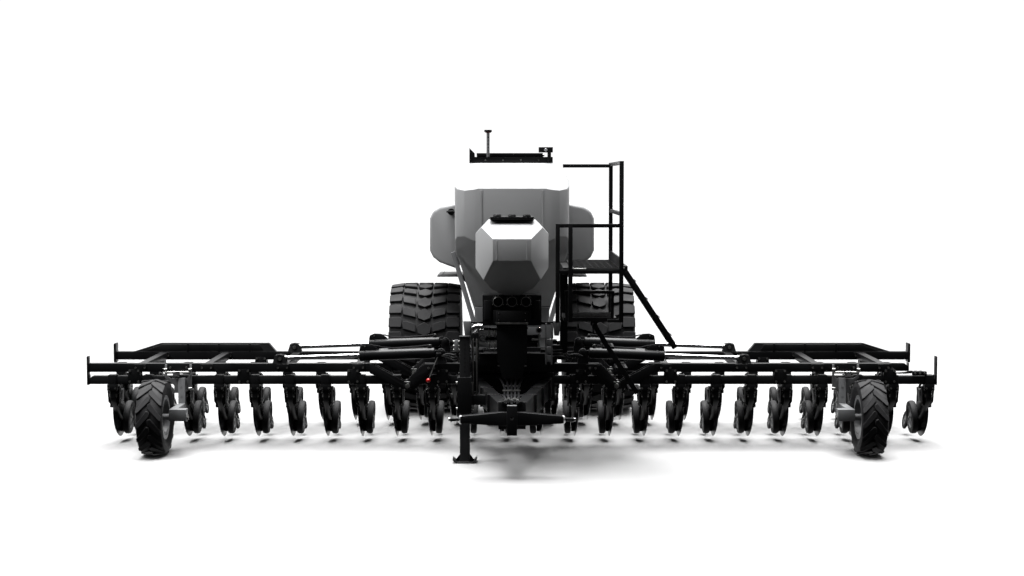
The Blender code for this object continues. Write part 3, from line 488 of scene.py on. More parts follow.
def casing(centre, radius, width, rim_radius, groove):
    """The tyre's body: tread, rounded shoulders, bulged walls with a rib, and beads."""
    half, depth = width / 2, radius - rim_radius
    crown = radius - groove
    profile = [(-half * 0.70, rim_radius + 0.001), (-half * 0.80, rim_radius + 0.02),
               (-half * 0.93, rim_radius + 0.30 * depth),
               (-half * 0.985, rim_radius + 0.50 * depth), (-half * 0.995, rim_radius + 0.56 * depth),
               (-half * 0.975, rim_radius + 0.60 * depth), (-half * 0.97, crown - 0.13 * depth),
               (-half * 0.93, crown - 0.055 * depth), (-half * 0.80, crown - 0.02 * depth),
               (-half * 0.45, crown)]
    profile += [(-x, r) for x, r in reversed(profile)]
    return turned(profile, centre, RUBBER, sides=72)


def sunk_rim(centre, side, radius, width, bolts, hub_radius):
    """A rim with rolled edges and a dished disc, a hub with its nuts, and the valve."""
    half = width * 0.37
    edge = [(-half - 0.012, radius - 0.03), (-half - 0.012, radius + 0.012), (-half + 0.004, radius + 0.012),
            (-half + 0.010, radius - 0.006), (half - 0.010, radius - 0.006), (half - 0.004, radius + 0.012),
            (half + 0.012, radius + 0.012), (half + 0.012, radius - 0.03), (half - 0.03, radius - 0.035),
            (0.05, radius - 0.055), (0.075, hub_radius * 1.25), (0.075, 0.001), (0.015, 0.001),
            (0.010, hub_radius * 1.2), (0.0, radius - 0.06), (-half + 0.03, radius - 0.035)]
    parts = [turned([(side * x, r) for x, r in edge], centre, GREY, sides=56)]
    face = centre.x + side * 0.075
    parts.append(rod((face, centre.y, centre.z), (face + side * 0.045, centre.y, centre.z), hub_radius * 0.62,
                     BLACK,
                     24, 0.006))
    for i in range(bolts):
        a = 2 * math.pi * i / bolts
        y, z = centre.y + hub_radius * math.cos(a), centre.z + hub_radius * math.sin(a)
        parts.append(rod((face - side * 0.002, y, z), (face + side * 0.022, y, z), 0.015, ZINC, 6, 0.002))
    valve = centre.z + radius * 0.72
    parts.append(rod((face - side * 0.02, centre.y, valve), (face + side * 0.03, centre.y, valve), 0.006,
                     ZINC, 8))
    return parts


# %% The main wheels
low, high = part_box("main_wheel_left_tyre")
MAIN_R, MAIN_WIDTH = (high.z - low.z) / 2, high.x - low.x
MAIN_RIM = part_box("main_wheel_left_rim")[1].z - MAIN_AXLE.z
PITCHES = 26
MAIN_GROOVE, MAIN_FALL = 0.034, 0.03


def flat_block(outline, depth):
    """A tread block lying flat, with its edges broken."""
    return rounded(extruded(outline, "Z", -0.004, depth, RUBBER, 0), 0.006, 1)


def main_blocks():
    """Flat tread blocks for one pitch of the main tyre."""
    step = 2 * math.pi * MAIN_R / PITCHES
    half = MAIN_WIDTH / 2
    arrow = [(-0.075, -0.30 * step), (0, -0.46 * step), (0.075, -0.30 * step), (0.090, 0.12 * step),
             (0, 0.42 * step),
             (-0.090, 0.12 * step)]
    found = [flat_block(arrow, MAIN_GROOVE)]
    for side in (1, -1):
        slant = [(0.100, -0.24 * step), (0.255, -0.02 * step), (0.262, 0.42 * step), (0.215, 0.50 * step),
                 (0.105, 0.28 * step)]
        shoulder = [(0.275, -0.40 * step), (half * 0.985, -0.34 * step), (half * 0.985, 0.30 * step),
                    (0.280, 0.30 * step), (0.262, 0.05 * step)]
        for outline in (slant, shoulder):
            found.append(flat_block([(side * x, y) for x, y in outline], MAIN_GROOVE))
    return found


def crown_fall(x, half, drop):
    """How far the tread lies below its middle at this distance across."""
    return drop * (abs(x) / half) ** 4


blocks = main_blocks()
for word, side in SIDES.items():
    centre = Vector((side * MAIN_AXLE.x, MAIN_AXLE.y, MAIN_R))
    parts = [casing(centre, MAIN_R, MAIN_WIDTH, MAIN_RIM, MAIN_GROOVE)]
    for turn in range(PITCHES):
        for number, flat in enumerate(blocks):
            shift = 0.5 * (number % 2 == 0 and number > 0)
            parts.append(wrapped(flat, centre, MAIN_R - MAIN_GROOVE,
                                 lambda x: crown_fall(x, MAIN_WIDTH / 2, MAIN_FALL),
                                 2 * math.pi * (turn + shift) / PITCHES))
    piece(f"tyre_main_{word}", parts, f"main_wheel_{word}", [f"main_wheel_{word}_tyre"])
    piece(f"rim_main_{word}", sunk_rim(centre, side, MAIN_RIM, MAIN_WIDTH, 10, 0.14), f"main_wheel_{word}",
          [f"main_wheel_{word}_rim"])
for flat in blocks:
    bpy.data.objects.remove(flat)
print("main wheels:", PITCHES, "pitches of tread")

# %% The wing wheels
low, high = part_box("wing_wheel_left_tyre")
WING_R, WING_WIDTH = (high.z - low.z) / 2, high.x - low.x
WING_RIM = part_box("wing_wheel_left_rim")[1].y - WING_AXLE.y
BARS = 15
WING_GROOVE, WING_FALL = 0.022, 0.018
bar_step = 2 * math.pi * WING_R / BARS
bar_half = WING_WIDTH / 2
bar_outline = [(-0.010, -0.36 * bar_step), (0.020, -0.42 * bar_step), (bar_half * 0.98, 0.42 * bar_step),
               (bar_half * 0.98, 0.72 * bar_step), (bar_half * 0.75, 0.62 * bar_step),
               (-0.010, -0.06 * bar_step)]
bars = [flat_block([(side * x, -y) for x, y in bar_outline], WING_GROOVE) for side in (1, -1)]
for word, side in SIDES.items():
    centre = Vector((side * WING_AXLE.x, WING_AXLE.y, WING_R))
    parts = [casing(centre, WING_R, WING_WIDTH, WING_RIM, WING_GROOVE)]
    for turn in range(BARS):
        for number, flat in enumerate(bars):
            parts.append(wrapped(flat, centre, WING_R - WING_GROOVE,
                                 lambda x: crown_fall(x, bar_half, WING_FALL),
                                 2 * math.pi * (turn + 0.5 * number) / BARS))
    piece(f"tyre_wing_{word}", parts, f"wing_wheel_{word}", [f"wing_wheel_{word}_tyre"])
    piece(f"rim_wing_{word}", sunk_rim(centre, side, WING_RIM, WING_WIDTH, 6, 0.075), f"wing_wheel_{word}",
          [f"wing_wheel_{word}_rim"])
for flat in bars:
    bpy.data.objects.remove(flat)
print("wing wheels:", BARS, "bars a side")

# %% [markdown]
# ## Seed openers
# One opener is modelled at the origin under an imaginary toolbar: clamp, arm, spring, leaning disc, gauge
# wheel, press wheel, seed tube and hose. It is copied once for each row, mirrored on the right side, so
# that every disc stands on the outer side of its arm.

# %% One opener
BAR_LOW, BAR_HIGH, BAR_HALF = 0.670, 0.756, 0.045
DISC_AT = Vector((0.040, 0.45, 0.275))
GAUGE_AT = Vector((-0.062, 0.47, 0.255))
PRESS_AT = Vector((-0.040, 0.905, 0.165))


def tilted(obj, centre, lean, steer=0.0):
    """Leans a wheel about its own centre, and steers it."""
    turn = Matrix.Rotation(math.radians(lean), 4, "Y") @ Matrix.Rotation(math.radians(steer), 4, "Z")
    obj.data.transform(Matrix.Translation(centre) @ turn @ Matrix.Translation(-centre))
    return obj


def bolt(at, axis, radius=0.011, height=0.009, material=None):
    """A hexagon head standing along an axis from its point."""
    return rod(at, Vector(at) + Vector(axis) * height, radius, material or ZINC, 6)


def spring(top, foot, radius, wire, turns):
    """A coil spring between two points with a rod down its middle."""
    top, foot = Vector(top), Vector(foot)
    way = foot - top
    side = way.cross(Vector((1, 0, 0))).normalized()
    other = way.cross(side).normalized()
    steps = turns * 8
    points = []
    for i in range(steps + 1):
        a = i * math.pi / 4
        points.append(top + way * (i / steps) + radius * (side * math.cos(a) + other * math.sin(a)))
    return [tube(points, wire, ZINC, 4, smooth=False), rod(top, foot, radius * 0.55, BLACK, 8)]


def opener_parts():
    """The parts of one opener, with its toolbar's middle at y 0."""
    arm = [(-0.040, 0.600), (-0.046, 0.520), (-0.010, 0.470), (0.300, 0.290), (0.430, 0.225), (0.505, 0.232),
           (0.545, 0.290), (0.500, 0.385), (0.300, 0.470), (0.120, 0.560), (0.050, 0.605)]
    tail = [(0.45, 0.335), (0.56, 0.318), (0.79, 0.302), (0.925, 0.205), (0.945, 0.150), (0.905, 0.130),
            (0.780, 0.252), (0.52, 0.255)]
    parts = [extruded(arm, "X", -0.026, 0.026, BLACK, 0.006),
             extruded(tail, "X", -0.014, 0.010, BLACK, 0.003)]
    parts.append(block((-0.052, -0.062, 0.602), (0.052, 0.062, BAR_LOW - 0.001), BLACK, 0.006))
    casting = [(-0.078, 0.600), (-0.070, 0.470), (-0.034, 0.425), (0.034, 0.425), (0.070, 0.470),
               (0.078, 0.600)]
    parts += [
        extruded(casting, "Y", 0.064, 0.185, BLACK, 0.008),
        rod((-0.060, 0.050, 0.470), (-0.060, 0.050, 0.640), 0.015, STEEL, 12, 0.003),
        rod((-0.060, 0.050, 0.430), (-0.060, 0.050, 0.472), 0.009, ZINC, 8)]
    for x, z in ((-0.040, 0.560), (0.048, 0.570), (0.030, 0.470)):
        parts.append(bolt((x, 0.064, z), (0, -1, 0), 0.011, 0.009, STEEL))
    for y in (-0.059, 0.0455):
        parts.append(block((-0.045, y, 0.640), (0.045, y + 0.0135, BAR_HIGH + 0.006), BLACK, 0.003))
    parts.append(block((-0.045, -0.059, BAR_HIGH + 0.001), (0.045, 0.059, BAR_HIGH + 0.010), BLACK, 0.002))
    for x in (-0.036, 0.036):
        parts += [
            bolt((x, -0.061, 0.628), (0, -1, 0), 0.012, 0.011),
            bolt((x, 0, 0.603), (0, 0, -1), 0.011, 0.012)]
    parts.append(rod((-0.040, 0.0, 0.545), (0.040, 0.0, 0.545), 0.017, ZINC, 10))
    parts += spring((0.046, 0.085, 0.650), (0.046, 0.150, 0.440), 0.017, 0.0042, 7)
    parts += [
        block((0.024, 0.130, 0.400), (0.066, 0.185, 0.442), BLACK, 0.004),
        block((0.024, 0.055, 0.645), (0.066, 0.115, 0.668), ZINC, 0.003)]
    disc = turned([(-0.0020, 0.225), (0.0035, 0.203), (0.0035, 0.052), (0.0035, 0.001), (-0.0030, 0.001),
                   (-0.0030, 0.215)], DISC_AT, DISC, 36)
    hub = turned([(-0.004, 0.062), (0.012, 0.058), (0.026, 0.036), (0.028, 0.001), (-0.012, 0.001),
                  (-0.012, 0.062)], DISC_AT, BLACK, 16)
    nuts = [bolt(DISC_AT + Vector((0.010, 0.047 * math.cos(a), 0.047 * math.sin(a))), (1, 0, 0), 0.008, 0.009)
            for a in (0.5, 1.757, 3.013, 4.270, 5.527)]
    parts += [tilted(part, DISC_AT, 5, 4) for part in (disc, hub, *nuts)]
    tyre = turned([(0.030, 0.118), (0.033, 0.150), (0.029, 0.172), (0.012, 0.180), (-0.014, 0.180),
                   (-0.032, 0.172),
                   (-0.036, 0.148), (-0.033, 0.118)], GAUGE_AT, RUBBER, 32)
    rim = turned([(0.026, 0.122), (0.010, 0.114), (0.006, 0.040), (0.006, 0.001), (-0.030, 0.001),
                  (-0.026, 0.045),
                  (-0.012, 0.060), (-0.014, 0.108), (-0.034, 0.122)], GAUGE_AT, GREY, 28)
    parts += [tilted(part, GAUGE_AT, -4) for part in (tyre, rim)]
    parts.append(bolt(GAUGE_AT - Vector((0.030, 0, 0)), (-1, 0, 0), 0.016, 0.012))
    fork = [(0.18, 0.405), (0.20, 0.440), (0.30, 0.420), (0.50, 0.280), (0.49, 0.235), (0.44, 0.240),
            (0.30, 0.350)]
    parts.append(extruded(fork, "X", -0.040, -0.028, BLACK, 0.002))
    press = turned([(0.014, 0.060), (0.016, 0.088), (0.009, 0.100), (-0.009, 0.100), (-0.016, 0.088),
                    (-0.014, 0.060)], PRESS_AT, RUBBER, 24)
    press_rim = turned([(0.010, 0.066), (0.004, 0.056), (0.004, 0.001), (-0.008, 0.001), (-0.006, 0.056),
                        (-0.012, 0.066)], PRESS_AT, GREY, 20)
    parts += [tilted(part, PRESS_AT, 10) for part in (press, press_rim)]
    parts.append(rod(PRESS_AT - Vector((0.020, 0, 0)), (0.014, PRESS_AT.y, PRESS_AT.z), 0.011, ZINC, 8))
    boot = [(0.455, 0.360), (0.500, 0.400), (0.580, 0.330), (0.560, 0.120), (0.520, 0.090), (0.495, 0.200)]
    parts.append(extruded(boot, "X", -0.013, 0.022, BLACK, 0.003))
    quadrant = [(0.300, 0.455), (0.285, 0.500), (0.330, 0.548), (0.400, 0.545), (0.440, 0.490),
                (0.425, 0.420)]
    parts += [
        extruded(quadrant, "X", -0.020, -0.012, ZINC, 0.001),
        rod((-0.030, 0.360, 0.440), (-0.030, 0.395, 0.590), 0.008, BLACK, 8),
        tube([(0.004, 0.520, 0.360), (0.004, 0.500, 0.500), (0.004, 0.360, 0.640), (0.004, 0.180, 0.690),
              (0.004, 0.100, 0.708)], 0.015, HOSE, 10)]
    return parts


OPENER = merged(opener_parts())
print("one opener has", len(OPENER.data.polygons), "faces")

# %% Rows of openers
CENTRE_ROW = 23.5
PITCH = 0.1875
LINE_HEIGHT, LINE_BEHIND = 0.708, 0.088
END_CUT = 0.040


def gang(name, body, node_name, rows, bar_y, x0, x1):
    """One row of openers under its toolbar, with the hangers and the bundle of hoses behind it.

    The toolbar's upper corners are cut, as its ends pass their neighbours when a wing folds.
    """
    toolbar = [(x0, BAR_LOW), (x1, BAR_LOW), (x1, BAR_HIGH - END_CUT), (x1 - END_CUT, BAR_HIGH),
               (x0 + END_CUT, BAR_HIGH), (x0, BAR_HIGH - END_CUT)]
    parts = [extruded(toolbar, "Y", bar_y - BAR_HALF, bar_y + BAR_HALF, BLACK, 0.005)]
    for end in (end for end in (x0, x1) if abs(end) > 4.0):
        parts.append(block((end - 0.004, bar_y - 0.050, BAR_LOW - 0.008),
                           (end + 0.004, bar_y + 0.050, BAR_HIGH + 0.008),
                           BLACK, 0.002))
    for i in (-1, 0, 1):
        x = x0 + (x1 - x0) * (0.5 + 0.352 * i)
        parts.append(block((x - 0.060, bar_y - 0.035, BAR_HIGH - 0.002), (x + 0.060, bar_y + 0.035, 0.7995),
                           BLACK,
                           0.003))
        for way in (-1, 1):
            plate = [(x - 0.075, BAR_LOW + 0.010), (x + 0.075, BAR_LOW + 0.010), (x + 0.060, 0.830),
                     (x - 0.060, 0.830)]
            y = bar_y + way * BEAM_FACE
            parts.append(extruded(plate, "Y", y, y + way * 0.010, BLACK, 0.002))
            for dx in (-0.045, 0.045):
                for z in (0.700, 0.812):
                    parts.append(bolt((x + dx, y + way * 0.010, z), (0, way, 0), 0.013, 0.010))
    if body != "chassis" and bar_y == FRONT_BAR:
        low, high = (4.4703, 4.4823) if x1 > 0 else (-4.4823, -4.4703)
        parts.append(block((low, bar_y - 0.060, 0.665), (high, bar_y + 0.040, 0.965), BLACK, 0.002))
    for shift in (-0.018, 0.018):
        for level in (-0.014, 0.014):
            y, z = bar_y + LINE_BEHIND + shift, LINE_HEIGHT + level
            parts.append(rod((x0 + 0.08, y, z), (x1 - 0.08, y, z), 0.0135, HOSE, 10))
    for row in rows:
        x = (row - CENTRE_ROW) * PITCH
        place = Matrix.Translation((x, bar_y, 0)) @ Matrix.Diagonal((1 if x > 0 else -1, 1, 1, 1))
        parts.append(copy_of(OPENER, place))
    return piece(name, parts, body, [node_name])


for word, first in (("left", 30), ("right", 0)):
    side = SIDES[word]
    x0, x1 = sorted((side * (HINGE.x + 0.09), side * WING_END))
    gang(f"front_row_{word}", f"wing_{word}", f"wing_{word}_front_openers", range(first + 1, first + 18, 2),
         FRONT_BAR,
         x0, x1)
    gang(f"rear_row_{word}", f"wing_{word}", f"wing_{word}_rear_openers", range(first, first + 17, 2),
         REAR_BAR, x0, x1)
gang("front_row_centre", "chassis", "centre_front_openers", range(19, 30, 2), FRONT_BAR, -1.04, 1.04)
gang("rear_row_centre", "chassis", "centre_rear_openers", range(18, 29, 2), REAR_BAR, -1.04, 1.04)
bpy.data.objects.remove(OPENER)
print("six rows of openers")

# %% [markdown]
# ## Painted frames
# The welded frames keep the shape of their solids with their edges rounded, and get the plates, bolts and
# pins that a welder would add. What belongs to a wing rides on that wing, so it folds with it.

# %% Wing frames


def hinge_bolt(x, y, z, way, radius=0.026):
    """A pin's end with its washer and keeper."""
    return [rod((x, y, z), (x, y + way * 0.012, z), radius * 1.5, BLACK, 20, 0.002),
            rod((x, y + way * 0.010, z), (x, y + way * 0.020, z), radius, ZINC, 16, 0.002),
            block((x - 0.030, min(y, y + way * 0.016), z + 0.030),
                  (x + 0.030, max(y, y + way * 0.016), z + 0.046), ZINC,
                  0.002)]


for word, side in SIDES.items():
    parts = [softened(f"wing_{word}_frame", BLACK, 0.005)]
    for bar_y in (FRONT_BAR, REAR_BAR):
        for x in (1.62, 2.42, 3.22, 3.92):
            for way in (-1, 1):
                y = bar_y + way * BEAM_FACE
                low, high = min(y, y + way * 0.007), max(y, y + way * 0.007)
                parts.append(block((side * x - 0.065, low, 0.806), (side * x + 0.065, high, 0.883), BLACK,
                                   0.002))
                for dx in (-0.048, 0.048):
                    parts.append(bolt((side * x + dx, y + way * 0.007, 0.845), (0, way, 0), 0.012, 0.010))
        for way in (-1, 1):
            parts += [
                bolt((side * ROD_EYE_X, bar_y + way * 0.045, ROD_EYE_Z), (0, way, 0), 0.022, 0.014),
                rod((side * ROD_EYE_X, bar_y + way * 0.0448, ROD_EYE_Z),
                    (side * ROD_EYE_X, bar_y + way * 0.049, ROD_EYE_Z), 0.030, BLACK, 20)]
    wall = [(side * 2.80, 0.905), (side * 4.12, 0.905), (side * 3.94, 0.972), (side * 2.84, 0.972)]
    parts.append(extruded(wall, "Y", REAR_BAR - 0.0455, REAR_BAR - 0.038, BLACK, 0.003))
    for x in (2.95, 3.30, 3.65):
        parts.append(block((side * x - 0.012, REAR_BAR - 0.050, 0.885),
                           (side * x + 0.012, REAR_BAR - 0.040, 0.985), BLACK,
                           0.002))
    parts.append(block((side * WING_END - 0.012, REAR_BAR - 0.070, 0.770),
                       (side * WING_END + 0.012, REAR_BAR + 0.070, 0.985), BLACK,
                       0.005))
    piece(f"frame_wing_{word}", parts, f"wing_{word}", [f"wing_{word}_frame"])
print("wing frames done")

# %% Brackets of the wing wheels
for word, side in SIDES.items():
    y = FRONT_BAR - 0.0503
    parts = [softened(f"wing_{word}_wheel_bracket", GREY, 0.006)]
    inner = WING_AXLE.x - WING_WIDTH / 2 - 0.01
    for x in (3.385, 3.645):
        for z in (0.63, 0.83):
            parts.append(rod((side * (x - 0.018), y - 0.045, z), (side * (x + 0.018), y - 0.045, z), 0.016,
                             ZINC, 14, 0.002))
    for x in (3.43, 3.60):
        for z in (0.61, 0.85):
            parts.append(bolt((side * x, y - 0.022, z), (0, -1, 0), 0.013, 0.011))
    parts.append(rod((side * 3.375, y - 0.045, 0.800), (side * 3.655, y - 0.045, 0.800), 0.013, ZINC, 14,
                     0.003))
    low, high = sorted((side * 3.495, side * 3.565))
    parts.append(block((low, y - 0.075, 0.760), (high, y - 0.020, 0.815), STEEL, 0.004))
    for z in (0.44, 0.54, 0.64):
        parts.append(rod((side * (inner - 0.044), -0.9905, z), (side * (inner - 0.044), -0.986, z),
                         0.014, GREY, 16))
    low, high = sorted((side * (inner - 0.184), side * (inner - 0.176)))
    parts += [
        rod((low, WING_AXLE.y, WING_R), (high, WING_AXLE.y, WING_R), 0.046, GREY, 24, 0.003),
        bolt((side * (inner - 0.184), WING_AXLE.y, WING_R), (-side, 0, 0), 0.028, 0.014)]
    piece(f"bracket_wing_{word}", parts, f"wing_{word}", [f"wing_{word}_wheel_bracket"])
print("wheel brackets done")

# %% Fold cylinders
# A cylinder is modelled along +X from its base pin and then turned into place.


def cylinder(place, word):
    """One fold cylinder as two pieces: its barrel with hose and hook, and its rod with the eye."""
    side = SIDES[word]
    barrel, rod_node = f"{place}_cylinder_{word}_barrel", f"{place}_cylinder_{word}_rod"
    base = Vector(joints[f"{place}_cylinder_{word}_turn"]["pos_m"])
    eye = Vector((side * ROD_EYE_X, base.y, ROD_EYE_Z))
    way = eye - base
    tip = Matrix.Rotation(-math.atan2(way.z, abs(way.x)), 4, "Y")
    turn = Matrix.Translation(base) @ Matrix.Diagonal((side, 1, 1, 1)) @ tip
    length = way.length
    parts = [turned([(0.060, 0.001), (0.060, 0.040), (0.072, 0.055), (0.100, 0.0575), (0.800, 0.0575),
                     (0.803, 0.0615), (0.855, 0.0615), (0.860, 0.057), (0.860, 0.0275), (0.140, 0.0260),
                     (0.140, 0.001)], (0, 0, 0), BLACK, 28),
             turned([(-0.0245, 0.021), (-0.0245, 0.043), (-0.022, 0.045), (0.022, 0.045), (0.0245, 0.043),
                     (0.0245, 0.021)], (0, 0, 0), BLACK, 24)]
    parts[-1].data.transform(Matrix.Rotation(math.radians(90), 4, "Z"))
    parts += [
        block((0.038, -0.022, -0.028), (0.072, 0.022, 0.028), BLACK, 0.004),
        turned([(0.860, 0.026), (0.860, 0.040), (0.866, 0.042), (0.868, 0.026)], (0, 0, 0), ZINC, 24)]
    for x in (0.115, 0.760):
        parts += [
            block((x - 0.020, -0.018, 0.050), (x + 0.020, 0.018, 0.078), BLACK, 0.004),
            rod((x, 0, 0.076), (x, 0, 0.092), 0.013, ZINC, 6, 0.002)]
    parts.append(tube([(0.760, 0, 0.088), (0.700, 0, 0.100), (0.600, 0.012, 0.074), (0.300, 0.014, 0.072),
                       (0.180, 0.006, 0.080), (0.115, 0, 0.088)], 0.008, HOSE, 10))
    hook = [(0.650, 0.055), (0.860, 0.055), (0.850, 0.100), (0.800, 0.118), (0.720, 0.112), (0.690, 0.088)]
    for y in (-0.034, 0.026):
        parts.append(extruded(hook, "Y", y, y + 0.008, BLACK, 0.002))
    parts.append(rod((0.800, -0.040, 0.098), (0.800, 0.040, 0.098), 0.009, ZINC, 12))
    for part in parts:
        moved(part, turn)
    piece(f"barrel_{place}_{word}", parts, barrel, [barrel])
    parts = [turned([(length - 0.910, 0.001), (length - 0.910, 0.0225), (length - 0.907, 0.0235),
                     (length - 0.030, 0.0235),
                     (length - 0.030, 0.001)], (0, 0, 0), CHROME, 24),
             turned([(length - 0.075, 0.001), (length - 0.075, 0.030), (length - 0.030, 0.032),
                     (length - 0.030, 0.001)],
                    (0, 0, 0), ZINC, 20)]
    ring = turned([(-0.0245, 0.020), (-0.0245, 0.040), (-0.022, 0.042), (0.022, 0.042), (0.0245, 0.040),
                   (0.0245, 0.020)], (0, 0, 0), BLACK, 24)
    ring.data.transform(Matrix.Translation((length, 0, 0)) @ Matrix.Rotation(math.radians(90), 4, "Z"))
    parts.append(ring)
    for part in parts:
        moved(part, turn)
    piece(f"rod_{place}_{word}", parts, rod_node, [rod_node])


for word in SIDES:
    for place in ("front", "rear"):
        cylinder(place, word)
print("four fold cylinders")

# %% Chassis, drawbar, hitch and jack
HITCH_Y, HITCH_Z = -2.97, 0.57
parts = [softened("main_frame", BLACK, 0.006)]
for word, side in SIDES.items():
    for bar_y in (FRONT_BAR, REAR_BAR):
        for way in (-1, 1):
            parts += hinge_bolt(side * HINGE.x, bar_y + way * 0.1035, HINGE.z, way)
            parts.append(rod((side * 0.75, bar_y + way * 0.0448, 1.0),
                             (side * 0.75, bar_y + way * 0.054, 1.0), 0.032, BLACK,
                             20, 0.002))
            for x, z in ((0.82, 0.845), (0.88, 0.845)):
                parts.append(bolt((side * x, bar_y + way * 0.092, z), (0, way, 0), 0.014, 0.010))
    for y in (-0.55, -0.20, 0.15, 0.75, 1.15, 1.55):
        parts.append(bolt((side * 0.42, y, 0.975), (side, 0, 0), 0.015, 0.011))
piece("frame_chassis", parts, "chassis", ["main_frame"])

parts = [softened("drawbar", BLACK, 0.008)]
for side in (1, -1):
    start, end = Vector((side * 0.37, -1.04, 0.655)), Vector((side * 0.105, -2.66, 0.606))
    for share in (0.12, 0.42, 0.72):
        at = start.lerp(end, share)
        parts.append(block((at.x - 0.066, at.y - 0.02, at.z - 0.101),
                           (at.x + 0.066, at.y + 0.02, at.z + 0.101), BLACK, 0.004))
    for z in (0.56, 0.70):
        parts.append(bolt((side * 0.40, -1.006, z), (0, -1, 0), 0.018, 0.014))
parts.append(block((-0.24, -2.10, 0.664), (0.24, -1.98, 0.692), BLACK, 0.005))
piece("beams_drawbar", parts, "chassis", ["drawbar"])

parts = [softened("hitch_crossbar", BLACK, 0.006)]
for side in (1, -1):
    parts += [
        turned([(side * x, r) for x, r in ((0.480, 0.018), (0.480, 0.044), (0.488, 0.046), (0.500, 0.030),
                                           (0.504, 0.018))], (0, HITCH_Y, HITCH_Z), STEEL, 28),
        rod((side * 0.575, HITCH_Y, HITCH_Z - 0.028), (side * 0.575, HITCH_Y, HITCH_Z + 0.028), 0.005, STEEL,
            8),
        rod((side * 0.560, HITCH_Y, HITCH_Z), (side * 0.5995, HITCH_Y, HITCH_Z), 0.0175, STEEL, 20, 0.003)]
parts += [
    block((-0.046, -3.046, 0.690), (0.046, -2.955, 0.712), GREY, 0.004),
    bolt((0, -3.040, 0.590), (0, -1, 0), 0.018, 0.010, STEEL)]
piece("crossbar_hitch", parts, "chassis", ["hitch_crossbar"])

low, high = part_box("jack_leg")
JX, JY = (low.x + high.x) / 2, (low.y + high.y) / 2
leg = [softened("jack_leg", BLACK, 0.006)]
leg.append(block((JX - 0.056, JY - 0.056, 1.255), (JX + 0.056, JY + 0.056, 1.269), BLACK, 0.003))
for side in (1, -1):
    leg.append(extruded([(JX + side * 0.050, 0.012), (JX + side * 0.100, 0.014),
                         (JX + side * 0.050, 0.080)][::side], "Y",
                        JY - 0.006, JY + 0.006, BLACK, 0.001))
for i in range(7):
    z = 0.92 + 0.045 * i
    leg.append(rod((JX, JY - 0.0515, z), (JX, JY - 0.049, z), 0.009, SATIN, 14))
piece("leg_jack", leg, "jack_leg", ["jack_leg"])
parts = [softened("jack_collar", BLACK, 0.004)]
for x in (0.084, 0.118):
    parts.append(rod((JX + x, JY - 0.020, 0.66), (JX + x, JY - 0.020, 1.24), 0.008, ZINC, 12, 0.002))
for z in (0.70, 1.20):
    parts.append(block((JX + 0.070, JY - 0.022, z - 0.012), (JX + 0.130, JY + 0.010, z + 0.012), BLACK,
                       0.003))
for z in (0.54, 0.80):
    parts.append(rod((JX - 0.090, JY, z), (JX + 0.090, JY, z), 0.011, ZINC, 14, 0.002))
parts += [
    rod((JX + 0.072, JY - 0.030, 0.80), (JX + 0.072, JY + 0.095, 0.80), 0.009, ZINC, 12, 0.002),
    rod((JX + 0.072, JY - 0.030, 0.80), (JX + 0.072, JY - 0.030, 0.66), 0.009, ZINC, 12, 0.002)]
piece("collar_jack", parts, "chassis", ["jack_collar"])
piece("axle_rear", [softened("rear_axle", BLACK, 0.006)], "chassis", ["rear_axle"])
print("chassis, drawbar, hitch, jack and axle done")

# %% [markdown]
# ## Tanks
# The tanks are moulded plastic with broad soft edges, ribs where panels meet and a raised seam. The dark
# frame of the filling hatch, its lid with latches, the mast and the camera sit on the roof.

# %% Tanks
low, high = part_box("main_tank")
parts = [softened("main_tank", PLASTIC, 0.007, 3)]
for y, way in ((low.y, -1), (high.y, 1)):
    parts.append(block((-0.300, y + way * 0.004 - 0.004, 2.060), (0.300, y + way * 0.004 + 0.004, 2.092),
                       PLASTIC, 0.0035))
    for x in (-0.335, 0.335):
        parts.append(block((x - 0.011, y + way * 0.003 - 0.004, 2.17),
                           (x + 0.011, y + way * 0.003 + 0.004, 2.71), PLASTIC,
                           0.0035))
for side in (1, -1):
    for y in (0.35, 1.27):
        parts.append(block((side * 0.630 - 0.004, y - 0.012, 2.09), (side * 0.630 + 0.004, y + 0.012, 2.78),
                           PLASTIC, 0.0035))
piece("tank_main", parts, "chassis", ["main_tank"], 20)

for word, side in SIDES.items():
    low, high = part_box(f"side_tank_{word}")
    parts = [softened(f"side_tank_{word}", PLASTIC, 0.035, 4)]
    for z in (2.10, 2.24):
        parts.append(block((side * 0.980 - 0.0035, low.y + 0.16, z - 0.009),
                           (side * 0.980 + 0.0000, high.y - 0.16, z + 0.009),
                           PLASTIC, 0.003))
    if side < 0:
        parts += [
            rod((-0.72, low.y + 0.01, 2.445), (-0.72, low.y - 0.045, 2.445), 0.040, BLACK, 20, 0.004),
            block((-0.775, low.y - 0.060, 2.435), (-0.665, low.y - 0.040, 2.457), BLACK, 0.004)]
    piece(f"tank_side_{word}", parts, "chassis", [f"side_tank_{word}"], 50)

low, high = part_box("front_tank")
parts = [softened("front_tank", PLASTIC, 0.006, 3)]
for x in (-0.150, 0.150):
    parts.append(block((x - 0.008, low.y - 0.003, 2.03), (x + 0.008, low.y + 0.005, 2.22), PLASTIC, 0.003))
piece("tank_front", parts, "chassis", ["front_tank"], 20)

lid = [softened("front_tank_lid", BLACK, 0.006)]
low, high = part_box("front_tank_lid")
for x in (-0.15, 0.0, 0.15):
    lid.append(turned([(low.z + 0.030, 0.001), (low.z + 0.030, 0.040), (low.z + 0.040, 0.043),
                       (low.z + 0.050, 0.038),
                       (low.z + 0.0548, 0.022), (low.z + 0.0548, 0.001)], (x, low.y + 0.06, 0), BLACK, 20,
                      "Z"))
piece("lid_front", lid, "front_tank_lid", ["front_tank_lid"])

